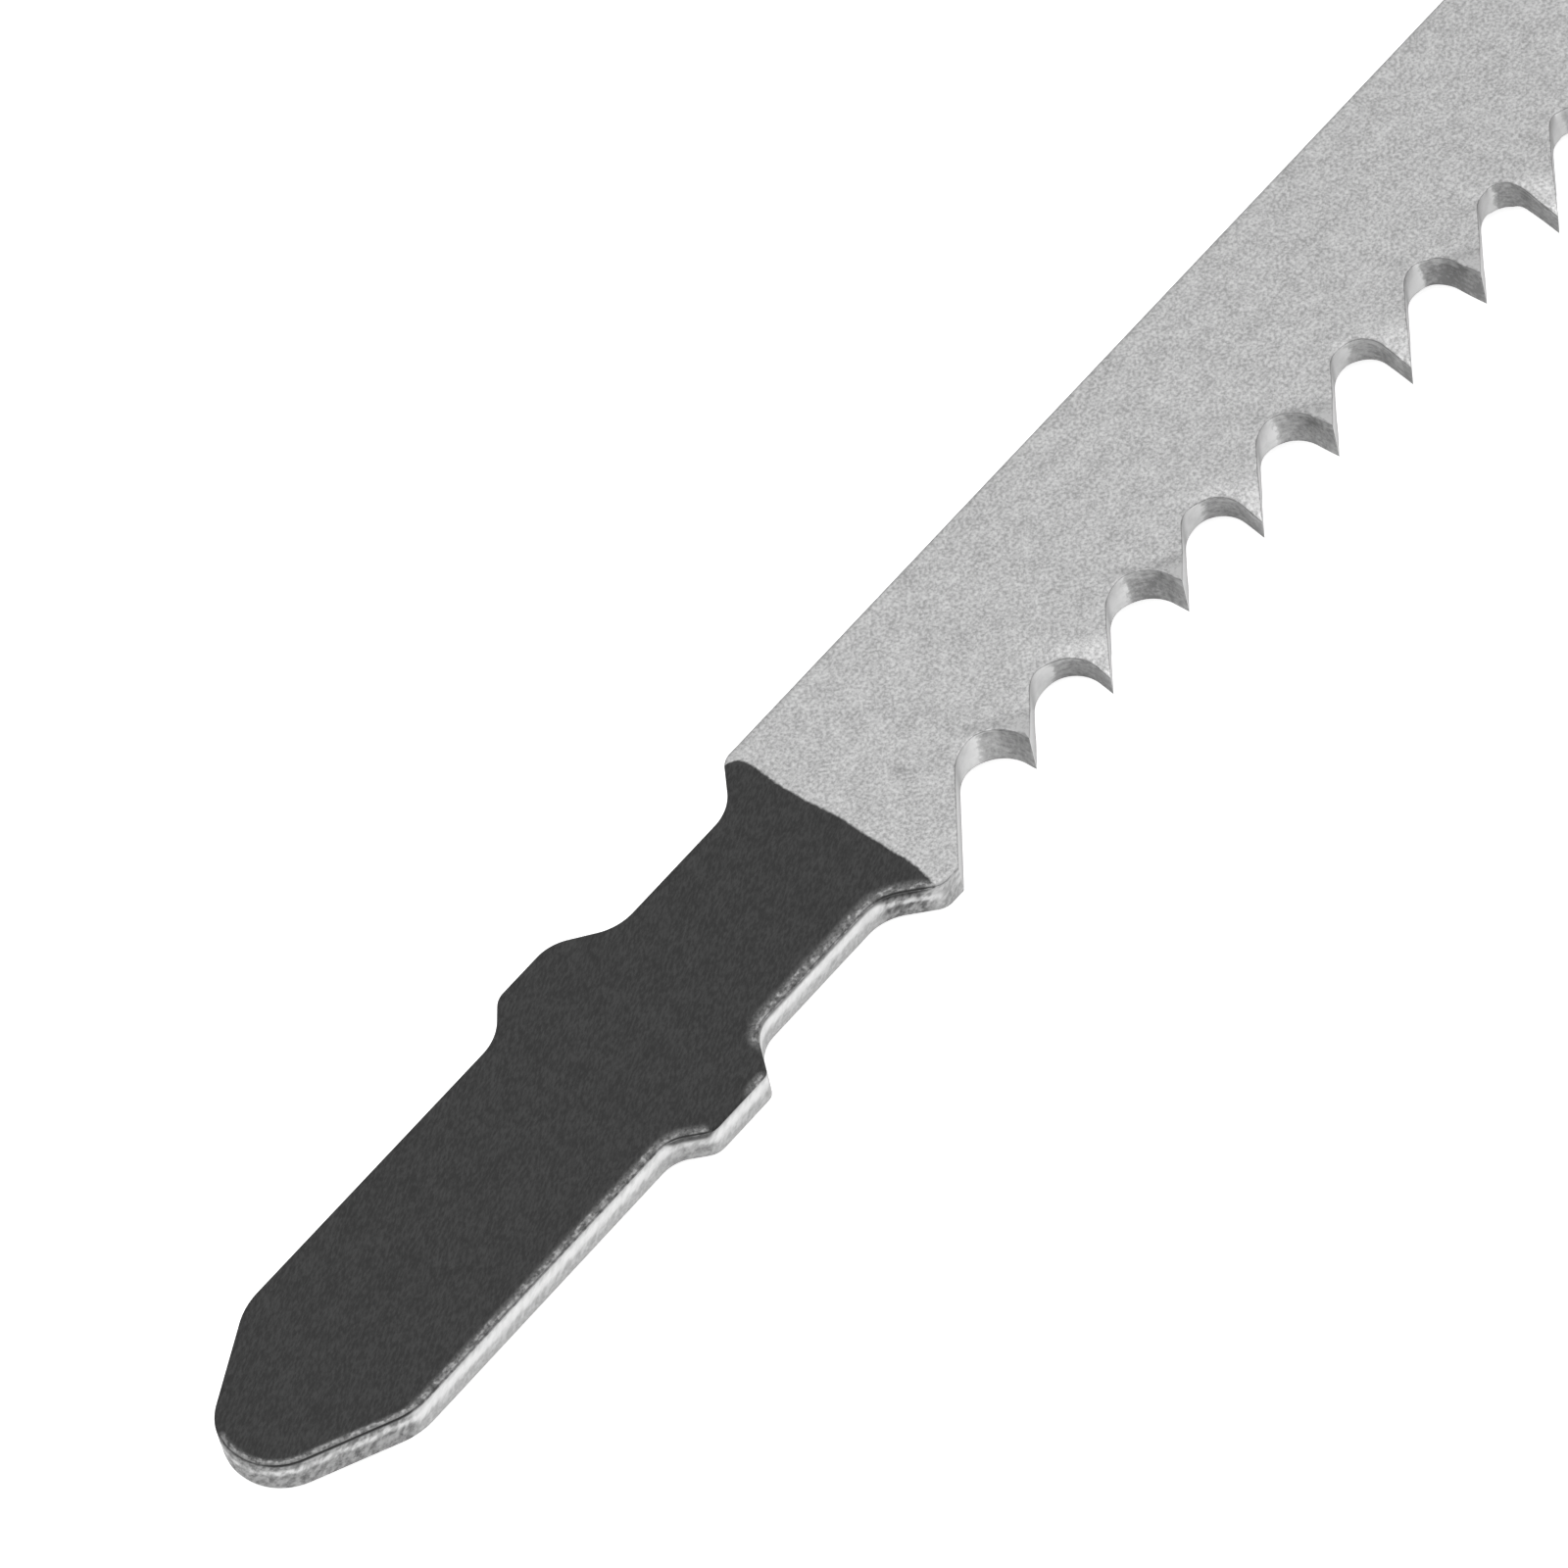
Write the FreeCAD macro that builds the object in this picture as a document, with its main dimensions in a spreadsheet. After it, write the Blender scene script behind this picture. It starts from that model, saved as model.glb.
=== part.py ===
import FreeCAD, Part
import Sketcher
import math
import os

# A jigsaw blade for wood, stamped from one strip of tool steel, in millimetres and degrees.
# X runs along the blade from the shank's free end, Y across it with the teeth towards -Y,
# and Z through the sheet with the printed face up. The centre line of the strip is Y = 0.

SHEET_NAME = "Sizes"

DRIVING_SIZES = [
    ("total_length", 100.0, "shank end to nose"),
    ("strip_width", 7.16, "back edge to the untouched tooth side of the strip"),
    ("thickness", 1.0, "sheet thickness"),
    ("end_width", 2.0, "flat left at the shank's free end"),
    ("taper_length", 3.4, "length of the two bevels that guide the shank in"),
    ("tang_width", 5.58, "shank between the bevels and the lugs"),
    ("lug_width", 7.16, "over the two lugs"),
    ("lug_position", 13.8, "shank end to the start of the lugs' flat crests"),
    ("lug_land", 2.1, "length of the lugs' flat crests"),
    ("neck_width", 4.88, "neck between the lugs and the shoulders"),
    ("shoulder_position", 22.72, "shank end to the full width of the strip"),
    ("shoulder_land", 0.65, "full width left before the first gullet"),
    ("ramp_angle", 45.0, "slope of the lugs and shoulders to the blade's length"),
    ("end_radius", 1.6, "corners of the free end"),
    ("taper_radius", 2.0, "corners where the bevels end"),
    ("lug_crest_radius", 0.6, "outer corners of the lugs"),
    ("lug_root_radius", 1.0, "inner corners of the lugs"),
    ("neck_radius", 1.4, "inner corners of the shoulders"),
    ("shoulder_radius", 0.55, "outer corners of the shoulders"),
    ("nose_slant", 6.2, "length of the slanted back at the nose"),
    ("nose_height", 0.6, "top of the nose's flat end above the centre line"),
    ("nose_radius", 0.8, "corners of the nose"),
    ("first_tip", 27.25, "shank end to the first tooth's tip"),
    ("pitch", 3.0, "tip to tip"),
    ("tip_depth", 2.79, "centre line to the first tooth's tip"),
    ("tip_growth", 0.063, "each early tooth stands out this much more than the last"),
    ("root_depth", 1.33, "centre line to the bottoms of the gullets"),
    ("clearance_angle", 41.0, "slope of a tooth's long side to the blade's length"),
    ("undercut_angle", 5.0, "lean of a tooth's short side towards the shank"),
    ("plain_end", 3.5, "length at the nose that is kept free of tips"),
    ("plain_end_radius", 1.2, "round where the last tooth meets the root line"),
    ("tooth_set", 0.25, "sideways bend of a tip"),
    ("set_reach", 0.72, "tip to the line that its tooth is bent along"),
    ("fold_angle", 38.0, "that line's slope to the blade's length"),
    ("edge_roll", 0.15, "rounding left by the punch around the printed face"),
]
GRADED_TEETH = 8

# How far the gullets' cuts reach past the strip, and the bent wedges past a tip: out, before, behind.
OVERCUT = 1.6
SET_OUT = 0.5
SET_LEAD = 0.35
SET_TAIL = 0.75

# The share of a ramp that each of its two rounds may take, and of half the end that its round may take.
RAMP_SHARE = 0.48
END_SHARE = 0.98

# Two points closer than this are the same corner.
SAME_PLACE = 1e-6


class Size:
    """A length or angle as a number, with the formula of driving sizes that gives the same number."""

    def __init__(self, number, formula):
        self.number = number
        self.formula = formula

    def __add__(self, other):
        other = as_size(other)
        return Size(self.number + other.number, "(%s + %s)" % (self.formula, other.formula))

    def __sub__(self, other):
        other = as_size(other)
        return Size(self.number - other.number, "(%s - %s)" % (self.formula, other.formula))

    def __mul__(self, other):
        other = as_size(other)
        return Size(self.number * other.number, "(%s * %s)" % (self.formula, other.formula))

    def __truediv__(self, other):
        other = as_size(other)
        return Size(self.number / other.number, "(%s / %s)" % (self.formula, other.formula))

    def __neg__(self):
        return self * -1


def as_size(value):
    if isinstance(value, Size):
        return value
    return Size(float(value), repr(float(value)))


def sine(angle):
    return Size(math.sin(math.radians(angle.number)), "sin(%s * 1 deg)" % angle.formula)


def cosine(angle):
    return Size(math.cos(math.radians(angle.number)), "cos(%s * 1 deg)" % angle.formula)


def tangent(angle):
    return sine(angle) / cosine(angle)


def arctangent(slope):
    return Size(math.degrees(math.atan(slope.number)), "(atan(%s) / 1 deg)" % slope.formula)


def smaller(first, second):
    return Size(min(first.number, second.number), "min(%s; %s)" % (first.formula, second.formula))


doc = FreeCAD.newDocument("JigsawBlade")
sheet = doc.addObject("Spreadsheet::Sheet", SHEET_NAME)
size = {}
for row, (name, number, meaning) in enumerate(DRIVING_SIZES, start=1):
    sheet.set("A%d" % row, meaning)
    sheet.set("B%d" % row, repr(number))
    sheet.setAlias("B%d" % row, name)
    size[name] = Size(number, "%s.%s" % (SHEET_NAME, name))
doc.recompute()

body = doc.addObject("PartDesign::Body", "saw_blade")
body.Label = "saw_blade"


# Sketch helpers

def origin_plane(role):
    return [feature for feature in body.Origin.OriginFeatures if feature.Role == role][0]


def new_sketch(name, role, offset=None):
    """An empty sketch on one of the body's own planes, moved along its normal by offset."""
    sketch = body.newObject("Sketcher::SketchObject", name)
    sketch.AttachmentSupport = [(origin_plane(role), "")]
    sketch.MapMode = "FlatFace"
    if offset is not None:
        sketch.setExpression("AttachmentOffset.Base.z", offset.formula)
    return sketch


def drive(sketch, name, constraint, value):
    """Add a measured constraint that follows the driving sizes."""
    sketch.addConstraint(constraint)
    index = sketch.ConstraintCount - 1
    sketch.renameConstraint(index, name)
    sketch.setExpression("Constraints.%s" % name, value.formula)


def place_point(sketch, name, geometry, end, across, up):
    """Pin one point of a sketch at two measured distances from the sketch's origin."""
    x_constraint = Sketcher.Constraint("DistanceX", -1, 1, geometry, end, across.number)
    drive(sketch, name + "_x", x_constraint, across)
    y_constraint = Sketcher.Constraint("DistanceY", -1, 1, geometry, end, up.number)
    drive(sketch, name + "_y", y_constraint, up)


def vector(across, up):
    return FreeCAD.Vector(across.number, up.number, 0.0)


def polygon(sketch, corners):
    """A closed outline of straight lines through named corners."""
    count = len(corners)
    for index, (name, across, up) in enumerate(corners):
        follower = corners[(index + 1) % count]
        start = vector(across, up)
        end = vector(follower[1], follower[2])
        sketch.addGeometry(Part.LineSegment(start, end), False)
    for index in range(count):
        joint = Sketcher.Constraint("Coincident", index, 2, (index + 1) % count, 1)
        sketch.addConstraint(joint)
    for index, (name, across, up) in enumerate(corners):
        place_point(sketch, name, index, 1, across, up)


def finish_feature(feature, grows):
    """Recompute and make sure that a feature added or removed steel as it should."""
    before = 0.0 if body.Shape.isNull() else body.Shape.Volume
    body.Tip = feature
    doc.recompute()
    change = body.Shape.Volume - before
    if change * grows <= 0.0:
        raise RuntimeError("%s changed the volume by %.4f" % (feature.Name, change))
    return feature


# The blank: the strip with its stamped shank and slanted nose

half_strip = size["strip_width"] / 2
half_end = size["end_width"] / 2
half_tang = size["tang_width"] / 2
half_lug = size["lug_width"] / 2
half_neck = size["neck_width"] / 2
ramp_slope = tangent(size["ramp_angle"])
lug_end = size["lug_position"] + size["lug_land"]
lug_foot = size["lug_position"] - (half_lug - half_tang) / ramp_slope
neck_start = lug_end + (half_lug - half_neck) / ramp_slope
shoulder_foot = size["shoulder_position"] - (half_strip - half_neck) / ramp_slope
slant_start = size["total_length"] - size["nose_slant"]

# One side of the shank from the free end to the shoulder: name, place along, half width, radius.
SHANK_SIDE = [
    ("end", as_size(0.0), half_end, "end_radius"),
    ("taper", size["taper_length"], half_tang, "taper_radius"),
    ("lug_foot", lug_foot, half_tang, "lug_root_radius"),
    ("lug_crest", size["lug_position"], half_lug, "lug_crest_radius"),
    ("lug_back", lug_end, half_lug, "lug_crest_radius"),
    ("neck", neck_start, half_neck, "lug_root_radius"),
    ("shoulder_foot", shoulder_foot, half_neck, "neck_radius"),
    ("shoulder", size["shoulder_position"], half_strip, "shoulder_radius"),
]
NOSE = [
    ("nose_back", slant_start, half_strip, "nose_radius"),
    ("nose_top", size["total_length"], size["nose_height"], "nose_radius"),
    ("nose_bottom", size["total_length"], -half_strip, None),
]


def ramp_limit(high, low):
    """The largest round that both ends of a ramp between two half widths have room for."""
    ramp_length = (high - low) / sine(size["ramp_angle"])
    return ramp_length * RAMP_SHARE / tangent(size["ramp_angle"] / 2)


bevel_angle = arctangent((half_tang - half_end) / size["taper_length"])
end_limit = half_end * END_SHARE / tangent((as_size(90.0) - bevel_angle) / 2)
lug_limit = smaller(ramp_limit(half_lug, half_tang), ramp_limit(half_lug, half_neck))
shoulder_limit = ramp_limit(half_strip, half_neck)
ROUND_LIMITS = {
    "end_radius": end_limit,
    "lug_crest_radius": lug_limit,
    "lug_root_radius": lug_limit,
    "neck_radius": shoulder_limit,
    "shoulder_radius": shoulder_limit,
}

back_side = [("back_" + name, along, half, radius) for name, along, half, radius in SHANK_SIDE]
tooth_side = [("tooth_" + name, along, -half, radius) for name, along, half, radius in SHANK_SIDE]
blank_corners = back_side + NOSE + tooth_side[::-1]

blank_sketch = new_sketch("blank_outline", "XY_Plane")
polygon(blank_sketch, [corner[:3] for corner in blank_corners])
blank = body.newObject("PartDesign::Pad", "blank")
blank.Profile = blank_sketch
blank.SideType = "Symmetric"
blank.setExpression("Length", size["thickness"].formula)
finish_feature(blank, 1)


# The corners of the blank

def upright_edge_at(shape, across, up):
    """The name of the edge that runs through the sheet at one corner of the outline."""
    for index, edge in enumerate(shape.Edges, start=1):
        ends = [vertex.Point for vertex in edge.Vertexes]
        if len(ends) == 2 and ends[0].distanceToPoint(ends[1]) > 0:
            corner = FreeCAD.Vector(across, up, 0.0)
            flat = [FreeCAD.Vector(point.x, point.y, 0.0) for point in ends]
            if max(point.distanceToPoint(corner) for point in flat) < SAME_PLACE:
                return "Edge%d" % index
    raise RuntimeError("no corner at %.3f, %.3f" % (across, up))


def round_corners(radius_name, base):
    """Round every corner of the blank that has this radius."""
    edges = []
    for name, along, across, radius in blank_corners:
        if radius == radius_name:
            edges.append(upright_edge_at(base.Shape, along.number, across.number))
    fillet = body.newObject("PartDesign::Fillet", radius_name.replace("radius", "corners"))
    fillet.Base = (base, edges)
    radius = size[radius_name]
    if radius_name in ROUND_LIMITS:
        radius = smaller(radius, ROUND_LIMITS[radius_name])
    fillet.setExpression("Radius", radius.formula)
    body.Tip = fillet
    doc.recompute()
    return fillet


last = blank
radius_names = []
for name, along, across, radius in blank_corners:
    if radius is not None and radius not in radius_names:
        radius_names.append(radius)
for radius_name in radius_names:
    last = round_corners(radius_name, last)


# Teeth: where their tips are

def tip_along(number):
    return size["first_tip"] + size["pitch"] * (number - 1)


def tip_depth(number):
    steps = min(number, GRADED_TEETH) - 1
    return size["tip_depth"] + size["tip_growth"] * steps


def tooth_count():
    room = size["total_length"].number - size["plain_end"].number - size["first_tip"].number
    return int(math.floor(room / size["pitch"].number)) + 1


# Set: each tooth leans to one side along its fold line, the next to the other

fold_cosine = cosine(size["fold_angle"])
fold_tangent = tangent(size["fold_angle"])


def set_sketch(name, number, face, lean):
    """The wedge that bending adds to one face of a tooth, or takes from the other."""
    sketch = new_sketch(name, "YZ_Plane", tip_along(number) - SET_LEAD)
    fold = -tip_depth(number) + size["set_reach"] / fold_cosine + fold_tangent * SET_LEAD
    far = -half_strip - SET_OUT
    skin = size["thickness"] * (0.5 * face)
    rise = size["tooth_set"] * (fold - far) * fold_cosine / size["set_reach"]
    polygon(sketch, [
        ("fold", fold, skin),
        ("edge", far, skin),
        ("rise", far, skin + rise * lean),
    ])
    return sketch


def set_feature(kind, name, number, face, lean):
    feature = body.newObject("PartDesign::" + kind, name)
    feature.Profile = set_sketch(name + "_profile", number, face, lean)
    feature.UseCustomVector = True
    feature.Direction = FreeCAD.Vector(fold_cosine.number, -sine(size["fold_angle"]).number, 0.0)
    feature.AlongSketchNormal = True
    feature.Length = SET_LEAD + SET_TAIL
    return finish_feature(feature, 1 if kind == "Pad" else -1)


def set_tooth(number):
    """Bend one tooth: odd teeth towards the printed face, even teeth away from it."""
    lean = 1 if number % 2 == 1 else -1
    raised = set_feature("Pad", "set_raised_%d" % number, number, lean, lean)
    hollow = set_feature("Pocket", "set_hollow_%d" % number, number, -lean, lean)
    return [raised, hollow]


def repeat(name, originals, step, occurrences, grows):
    """Copy features along the blade."""
    pattern = body.newObject("PartDesign::LinearPattern", name)
    pattern.Originals = originals
    pattern.Direction = (blank_sketch, ["H_Axis"])
    pattern.Mode = "Spacing"
    pattern.setExpression("Offset", step.formula)
    pattern.Occurrences = occurrences
    return finish_feature(pattern, grows)


for number in range(1, GRADED_TEETH + 1):
    set_tooth(number)
for number in (GRADED_TEETH + 1, GRADED_TEETH + 2):
    wedges = set_tooth(number)
    copies = (tooth_count() - number) // 2 + 1
    repeat("set_row_%d" % number, wedges, size["pitch"] * 2, copies, 1)


# Gullets: a round bottom between the long side of one tooth and the short side of the next

cut_line = half_strip + OVERCUT
clearance = size["clearance_angle"]
undercut = size["undercut_angle"]
shoulder_tip = (size["shoulder_position"] + size["shoulder_land"], half_strip)


def tip(number):
    """Place along and depth of a tip. The shoulder's end stands before the first tooth."""
    if number == 0:
        return shoulder_tip
    return tip_along(number), tip_depth(number)


def long_side_start(along, depth):
    """Where a tooth's long side, drawn on past its tip, crosses the line that cuts reach to."""
    return along - (cut_line - depth) / tangent(clearance)


def add_long_side(sketch, along, depth, foot):
    """The first line of a cut: a tooth's long side, through its tip, sloping to the foot."""
    start = vector(long_side_start(along, depth), -cut_line)
    sketch.addGeometry(Part.LineSegment(start, foot), False)
    slope = Sketcher.Constraint("Angle", 0, math.radians(clearance.number))
    drive(sketch, "clearance", slope, clearance)


def add_tip(sketch, name, along, depth, line):
    """A tip that a line of the cut has to pass through."""
    sketch.addGeometry(Part.Point(vector(along, -depth)), True)
    point = sketch.GeometryCount - 1
    place_point(sketch, name, point, 1, along, -depth)
    sketch.addConstraint(Sketcher.Constraint("PointOnObject", point, 1, line))


def gullet_sketch(name, number):
    """The cut in front of one tooth, through its tip and the tip before it."""
    before_along, before_depth = tip(number - 1)
    along, depth = tip(number)
    root = size["root_depth"]
    before_foot = before_along + (before_depth - root) / tangent(clearance)
    foot = along + (depth - root) * tangent(undercut)
    turns = tangent(clearance / 2) + tangent((undercut + 90) / 2)
    radius = ((foot - before_foot) / turns).number
    centre_along = before_foot.number + radius * tangent(clearance / 2).number
    centre = FreeCAD.Vector(centre_along, -root.number - radius, 0.0)
    first_angle = -math.radians(undercut.number)
    last_angle = math.radians(90.0 + clearance.number)
    circle = Part.Circle(centre, FreeCAD.Vector(0.0, 0.0, 1.0), radius)
    arc = Part.ArcOfCircle(circle, first_angle, last_angle)
    short_start = vector(along - (cut_line - depth) * tangent(undercut), -cut_line)

    sketch = new_sketch(name, "XY_Plane")
    add_long_side(sketch, before_along, before_depth, arc.EndPoint)
    sketch.addGeometry(arc, False)
    sketch.addGeometry(Part.LineSegment(short_start, arc.StartPoint), False)
    long_start = vector(long_side_start(before_along, before_depth), -cut_line)
    sketch.addGeometry(Part.LineSegment(short_start, long_start), False)
    sketch.addConstraint([
        Sketcher.Constraint("Tangent", 0, 2, 1, 2),
        Sketcher.Constraint("Tangent", 1, 1, 2, 2),
        Sketcher.Constraint("Coincident", 2, 1, 3, 1),
        Sketcher.Constraint("Coincident", 3, 2, 0, 1),
        Sketcher.Constraint("Horizontal", 3),
    ])
    lean = Sketcher.Constraint("Angle", 2, math.radians(90.0 - undercut.number))
    drive(sketch, "undercut", lean, as_size(90.0) - undercut)
    reach = Sketcher.Constraint("DistanceY", -1, 1, 3, 1, -cut_line.number)
    drive(sketch, "reach", reach, -cut_line)
    add_tip(sketch, "before", before_along, before_depth, 0)
    add_tip(sketch, "after", along, depth, 2)
    root_start = vector(before_foot, -root)
    root_end = vector(foot, -root)
    sketch.addGeometry(Part.LineSegment(root_start, root_end), True)
    root_line = sketch.GeometryCount - 1
    place_point(sketch, "root_start", root_line, 1, before_foot, -root)
    place_point(sketch, "root_end", root_line, 2, foot, -root)
    sketch.addConstraint(Sketcher.Constraint("Tangent", 1, root_line))
    return sketch


def cut_through(name, sketch):
    pocket = body.newObject("PartDesign::Pocket", name)
    pocket.Profile = sketch
    pocket.Type = "ThroughAll"
    pocket.SideType = "Symmetric"
    return finish_feature(pocket, -1)


graded_gullets = GRADED_TEETH
for number in range(1, graded_gullets + 2):
    name = "gullet_%d" % number
    gullet = cut_through(name, gullet_sketch(name + "_profile", number))
repeat("gullet_row", [gullet], size["pitch"], tooth_count() - graded_gullets, -1)


# The plain end: the last tooth's long side runs down to the root line, which runs on to the nose

def plain_end_sketch():
    along, depth = tip(tooth_count())
    root = size["root_depth"]
    radius = size["plain_end_radius"]
    foot = along + (depth - root) / tangent(clearance)
    reach = radius * tangent(clearance / 2)
    centre = vector(foot + reach, -root - radius)
    circle = Part.Circle(centre, FreeCAD.Vector(0.0, 0.0, 1.0), radius.number)
    arc = Part.ArcOfCircle(circle, math.radians(90.0), math.radians(90.0 + clearance.number))
    past_nose = size["total_length"] + OVERCUT
    root_end = vector(past_nose, -root)
    far_corner = vector(past_nose, -cut_line)
    long_start = vector(long_side_start(along, depth), -cut_line)

    sketch = new_sketch("plain_end_profile", "XY_Plane")
    add_long_side(sketch, along, depth, arc.EndPoint)
    sketch.addGeometry(arc, False)
    sketch.addGeometry(Part.LineSegment(arc.StartPoint, root_end), False)
    sketch.addGeometry(Part.LineSegment(root_end, far_corner), False)
    sketch.addGeometry(Part.LineSegment(far_corner, long_start), False)
    sketch.addConstraint([
        Sketcher.Constraint("Tangent", 0, 2, 1, 2),
        Sketcher.Constraint("Tangent", 1, 1, 2, 1),
        Sketcher.Constraint("Coincident", 2, 2, 3, 1),
        Sketcher.Constraint("Coincident", 3, 2, 4, 1),
        Sketcher.Constraint("Coincident", 4, 2, 0, 1),
        Sketcher.Constraint("Horizontal", 2),
        Sketcher.Constraint("Vertical", 3),
        Sketcher.Constraint("Horizontal", 4),
    ])
    drive(sketch, "round", Sketcher.Constraint("Radius", 1, radius.number), radius)
    place_point(sketch, "root_end", 2, 2, past_nose, -root)
    reach_constraint = Sketcher.Constraint("DistanceY", -1, 1, 4, 1, -cut_line.number)
    drive(sketch, "reach", reach_constraint, -cut_line)
    add_tip(sketch, "last", along, depth, 0)
    return sketch


last = cut_through("plain_end", plain_end_sketch())


# The rolled rim: the punch rounds the printed face along every edge but the teeth's

def rim_edges(shape):
    front = size["thickness"].number / 2
    land_end = shoulder_tip[0].number
    root = -size["root_depth"].number
    names = []
    for index, edge in enumerate(shape.Edges, start=1):
        points = [vertex.Point for vertex in edge.Vertexes]
        on_face = all(abs(point.z - front) < SAME_PLACE for point in points)
        off_teeth = all(point.x < land_end + SAME_PLACE or point.y > root + SAME_PLACE for point in points)
        if on_face and off_teeth:
            names.append("Edge%d" % index)
    return names


rim = body.newObject("PartDesign::Fillet", "rolled_rim")
rim.Base = (last, rim_edges(last.Shape))
rim.setExpression("Radius", size["edge_roll"].formula)
finish_feature(rim, -1)


# Where the blade lies: its middle over the origin, its lowest tips on the ground

body.setExpression("Placement.Base.x", (-size["total_length"] / 2).formula)
body.setExpression("Placement.Base.z", (size["thickness"] / 2 + size["tooth_set"]).formula)
doc.recompute()


for item in doc.Objects:
    faults = [state for state in item.State if state in ("Invalid", "Error")]
    if faults:
        raise RuntimeError("%s: %s" % (item.Name, faults))
if body.Shape.isNull() or not body.Shape.isValid() or len(body.Shape.Solids) != 1:
    raise RuntimeError("the blade is not one valid solid")

os.makedirs("parts", exist_ok=True)
body.Shape.exportStep(os.path.join("parts", body.Label + ".step"))
extent = body.Shape.optimalBoundingBox(False, False)
print("box", extent.XMin, extent.XMax, extent.YMin, extent.YMax, extent.ZMin, extent.ZMax)
print("volume", body.Shape.Volume, "faces", len(body.Shape.Faces), "teeth", tooth_count())
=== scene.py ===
import math

import bpy
import numpy as np
from mathutils import Matrix, Vector, noise
from mathutils.geometry import delaunay_2d_cdt
from mathutils.kdtree import KDTree


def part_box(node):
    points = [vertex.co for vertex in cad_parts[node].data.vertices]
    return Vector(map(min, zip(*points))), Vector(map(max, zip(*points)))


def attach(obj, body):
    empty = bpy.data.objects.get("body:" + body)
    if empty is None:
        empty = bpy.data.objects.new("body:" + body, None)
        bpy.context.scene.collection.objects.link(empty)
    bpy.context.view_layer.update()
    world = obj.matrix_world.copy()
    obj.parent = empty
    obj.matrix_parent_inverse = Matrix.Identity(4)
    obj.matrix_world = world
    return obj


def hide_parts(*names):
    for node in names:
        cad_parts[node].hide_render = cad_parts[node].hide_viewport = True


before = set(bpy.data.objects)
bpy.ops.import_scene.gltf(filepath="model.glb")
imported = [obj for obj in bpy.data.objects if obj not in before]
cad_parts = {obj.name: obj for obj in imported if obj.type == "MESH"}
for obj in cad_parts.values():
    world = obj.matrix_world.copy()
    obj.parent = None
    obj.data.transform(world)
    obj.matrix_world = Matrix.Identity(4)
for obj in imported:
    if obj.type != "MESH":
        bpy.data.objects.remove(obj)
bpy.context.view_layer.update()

bl_info = {
    "name": "Jigsaw Blade",
    "version": (1, 0, 0),
    "blender": (4, 5, 0),
    "location": "View3D > Sidebar > Jigsaw Blade",
    "description": "Builds a stamped and toothed jigsaw blade over its solid, and a white stage",
    "category": "Add Mesh",
}

MM = 0.001
NODE = "saw_blade"
BLADE_LOW, BLADE_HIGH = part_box(NODE)
SHANK_END = BLADE_LOW[0]
MIDDLE_LEVEL = (BLADE_LOW[2] + BLADE_HIGH[2]) / 2


# Properties

def length(name, description, default):
    return bpy.props.FloatProperty(
        name=name, description=description, default=default, precision=5, subtype="DISTANCE", unit="LENGTH")


def angle(name, description, degrees):
    return bpy.props.FloatProperty(
        name=name, description=description, default=math.radians(degrees), subtype="ANGLE", unit="ROTATION")


def colour(name, description, shade):
    """A neutral grey, as a scene-linear colour."""
    return bpy.props.FloatVectorProperty(
        name=name, description=description, default=(shade, shade, shade), size=3, subtype="COLOR",
        min=0.0, max=1.0)


def number(name, description, default):
    return bpy.props.FloatProperty(name=name, description=description, default=default)


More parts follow.
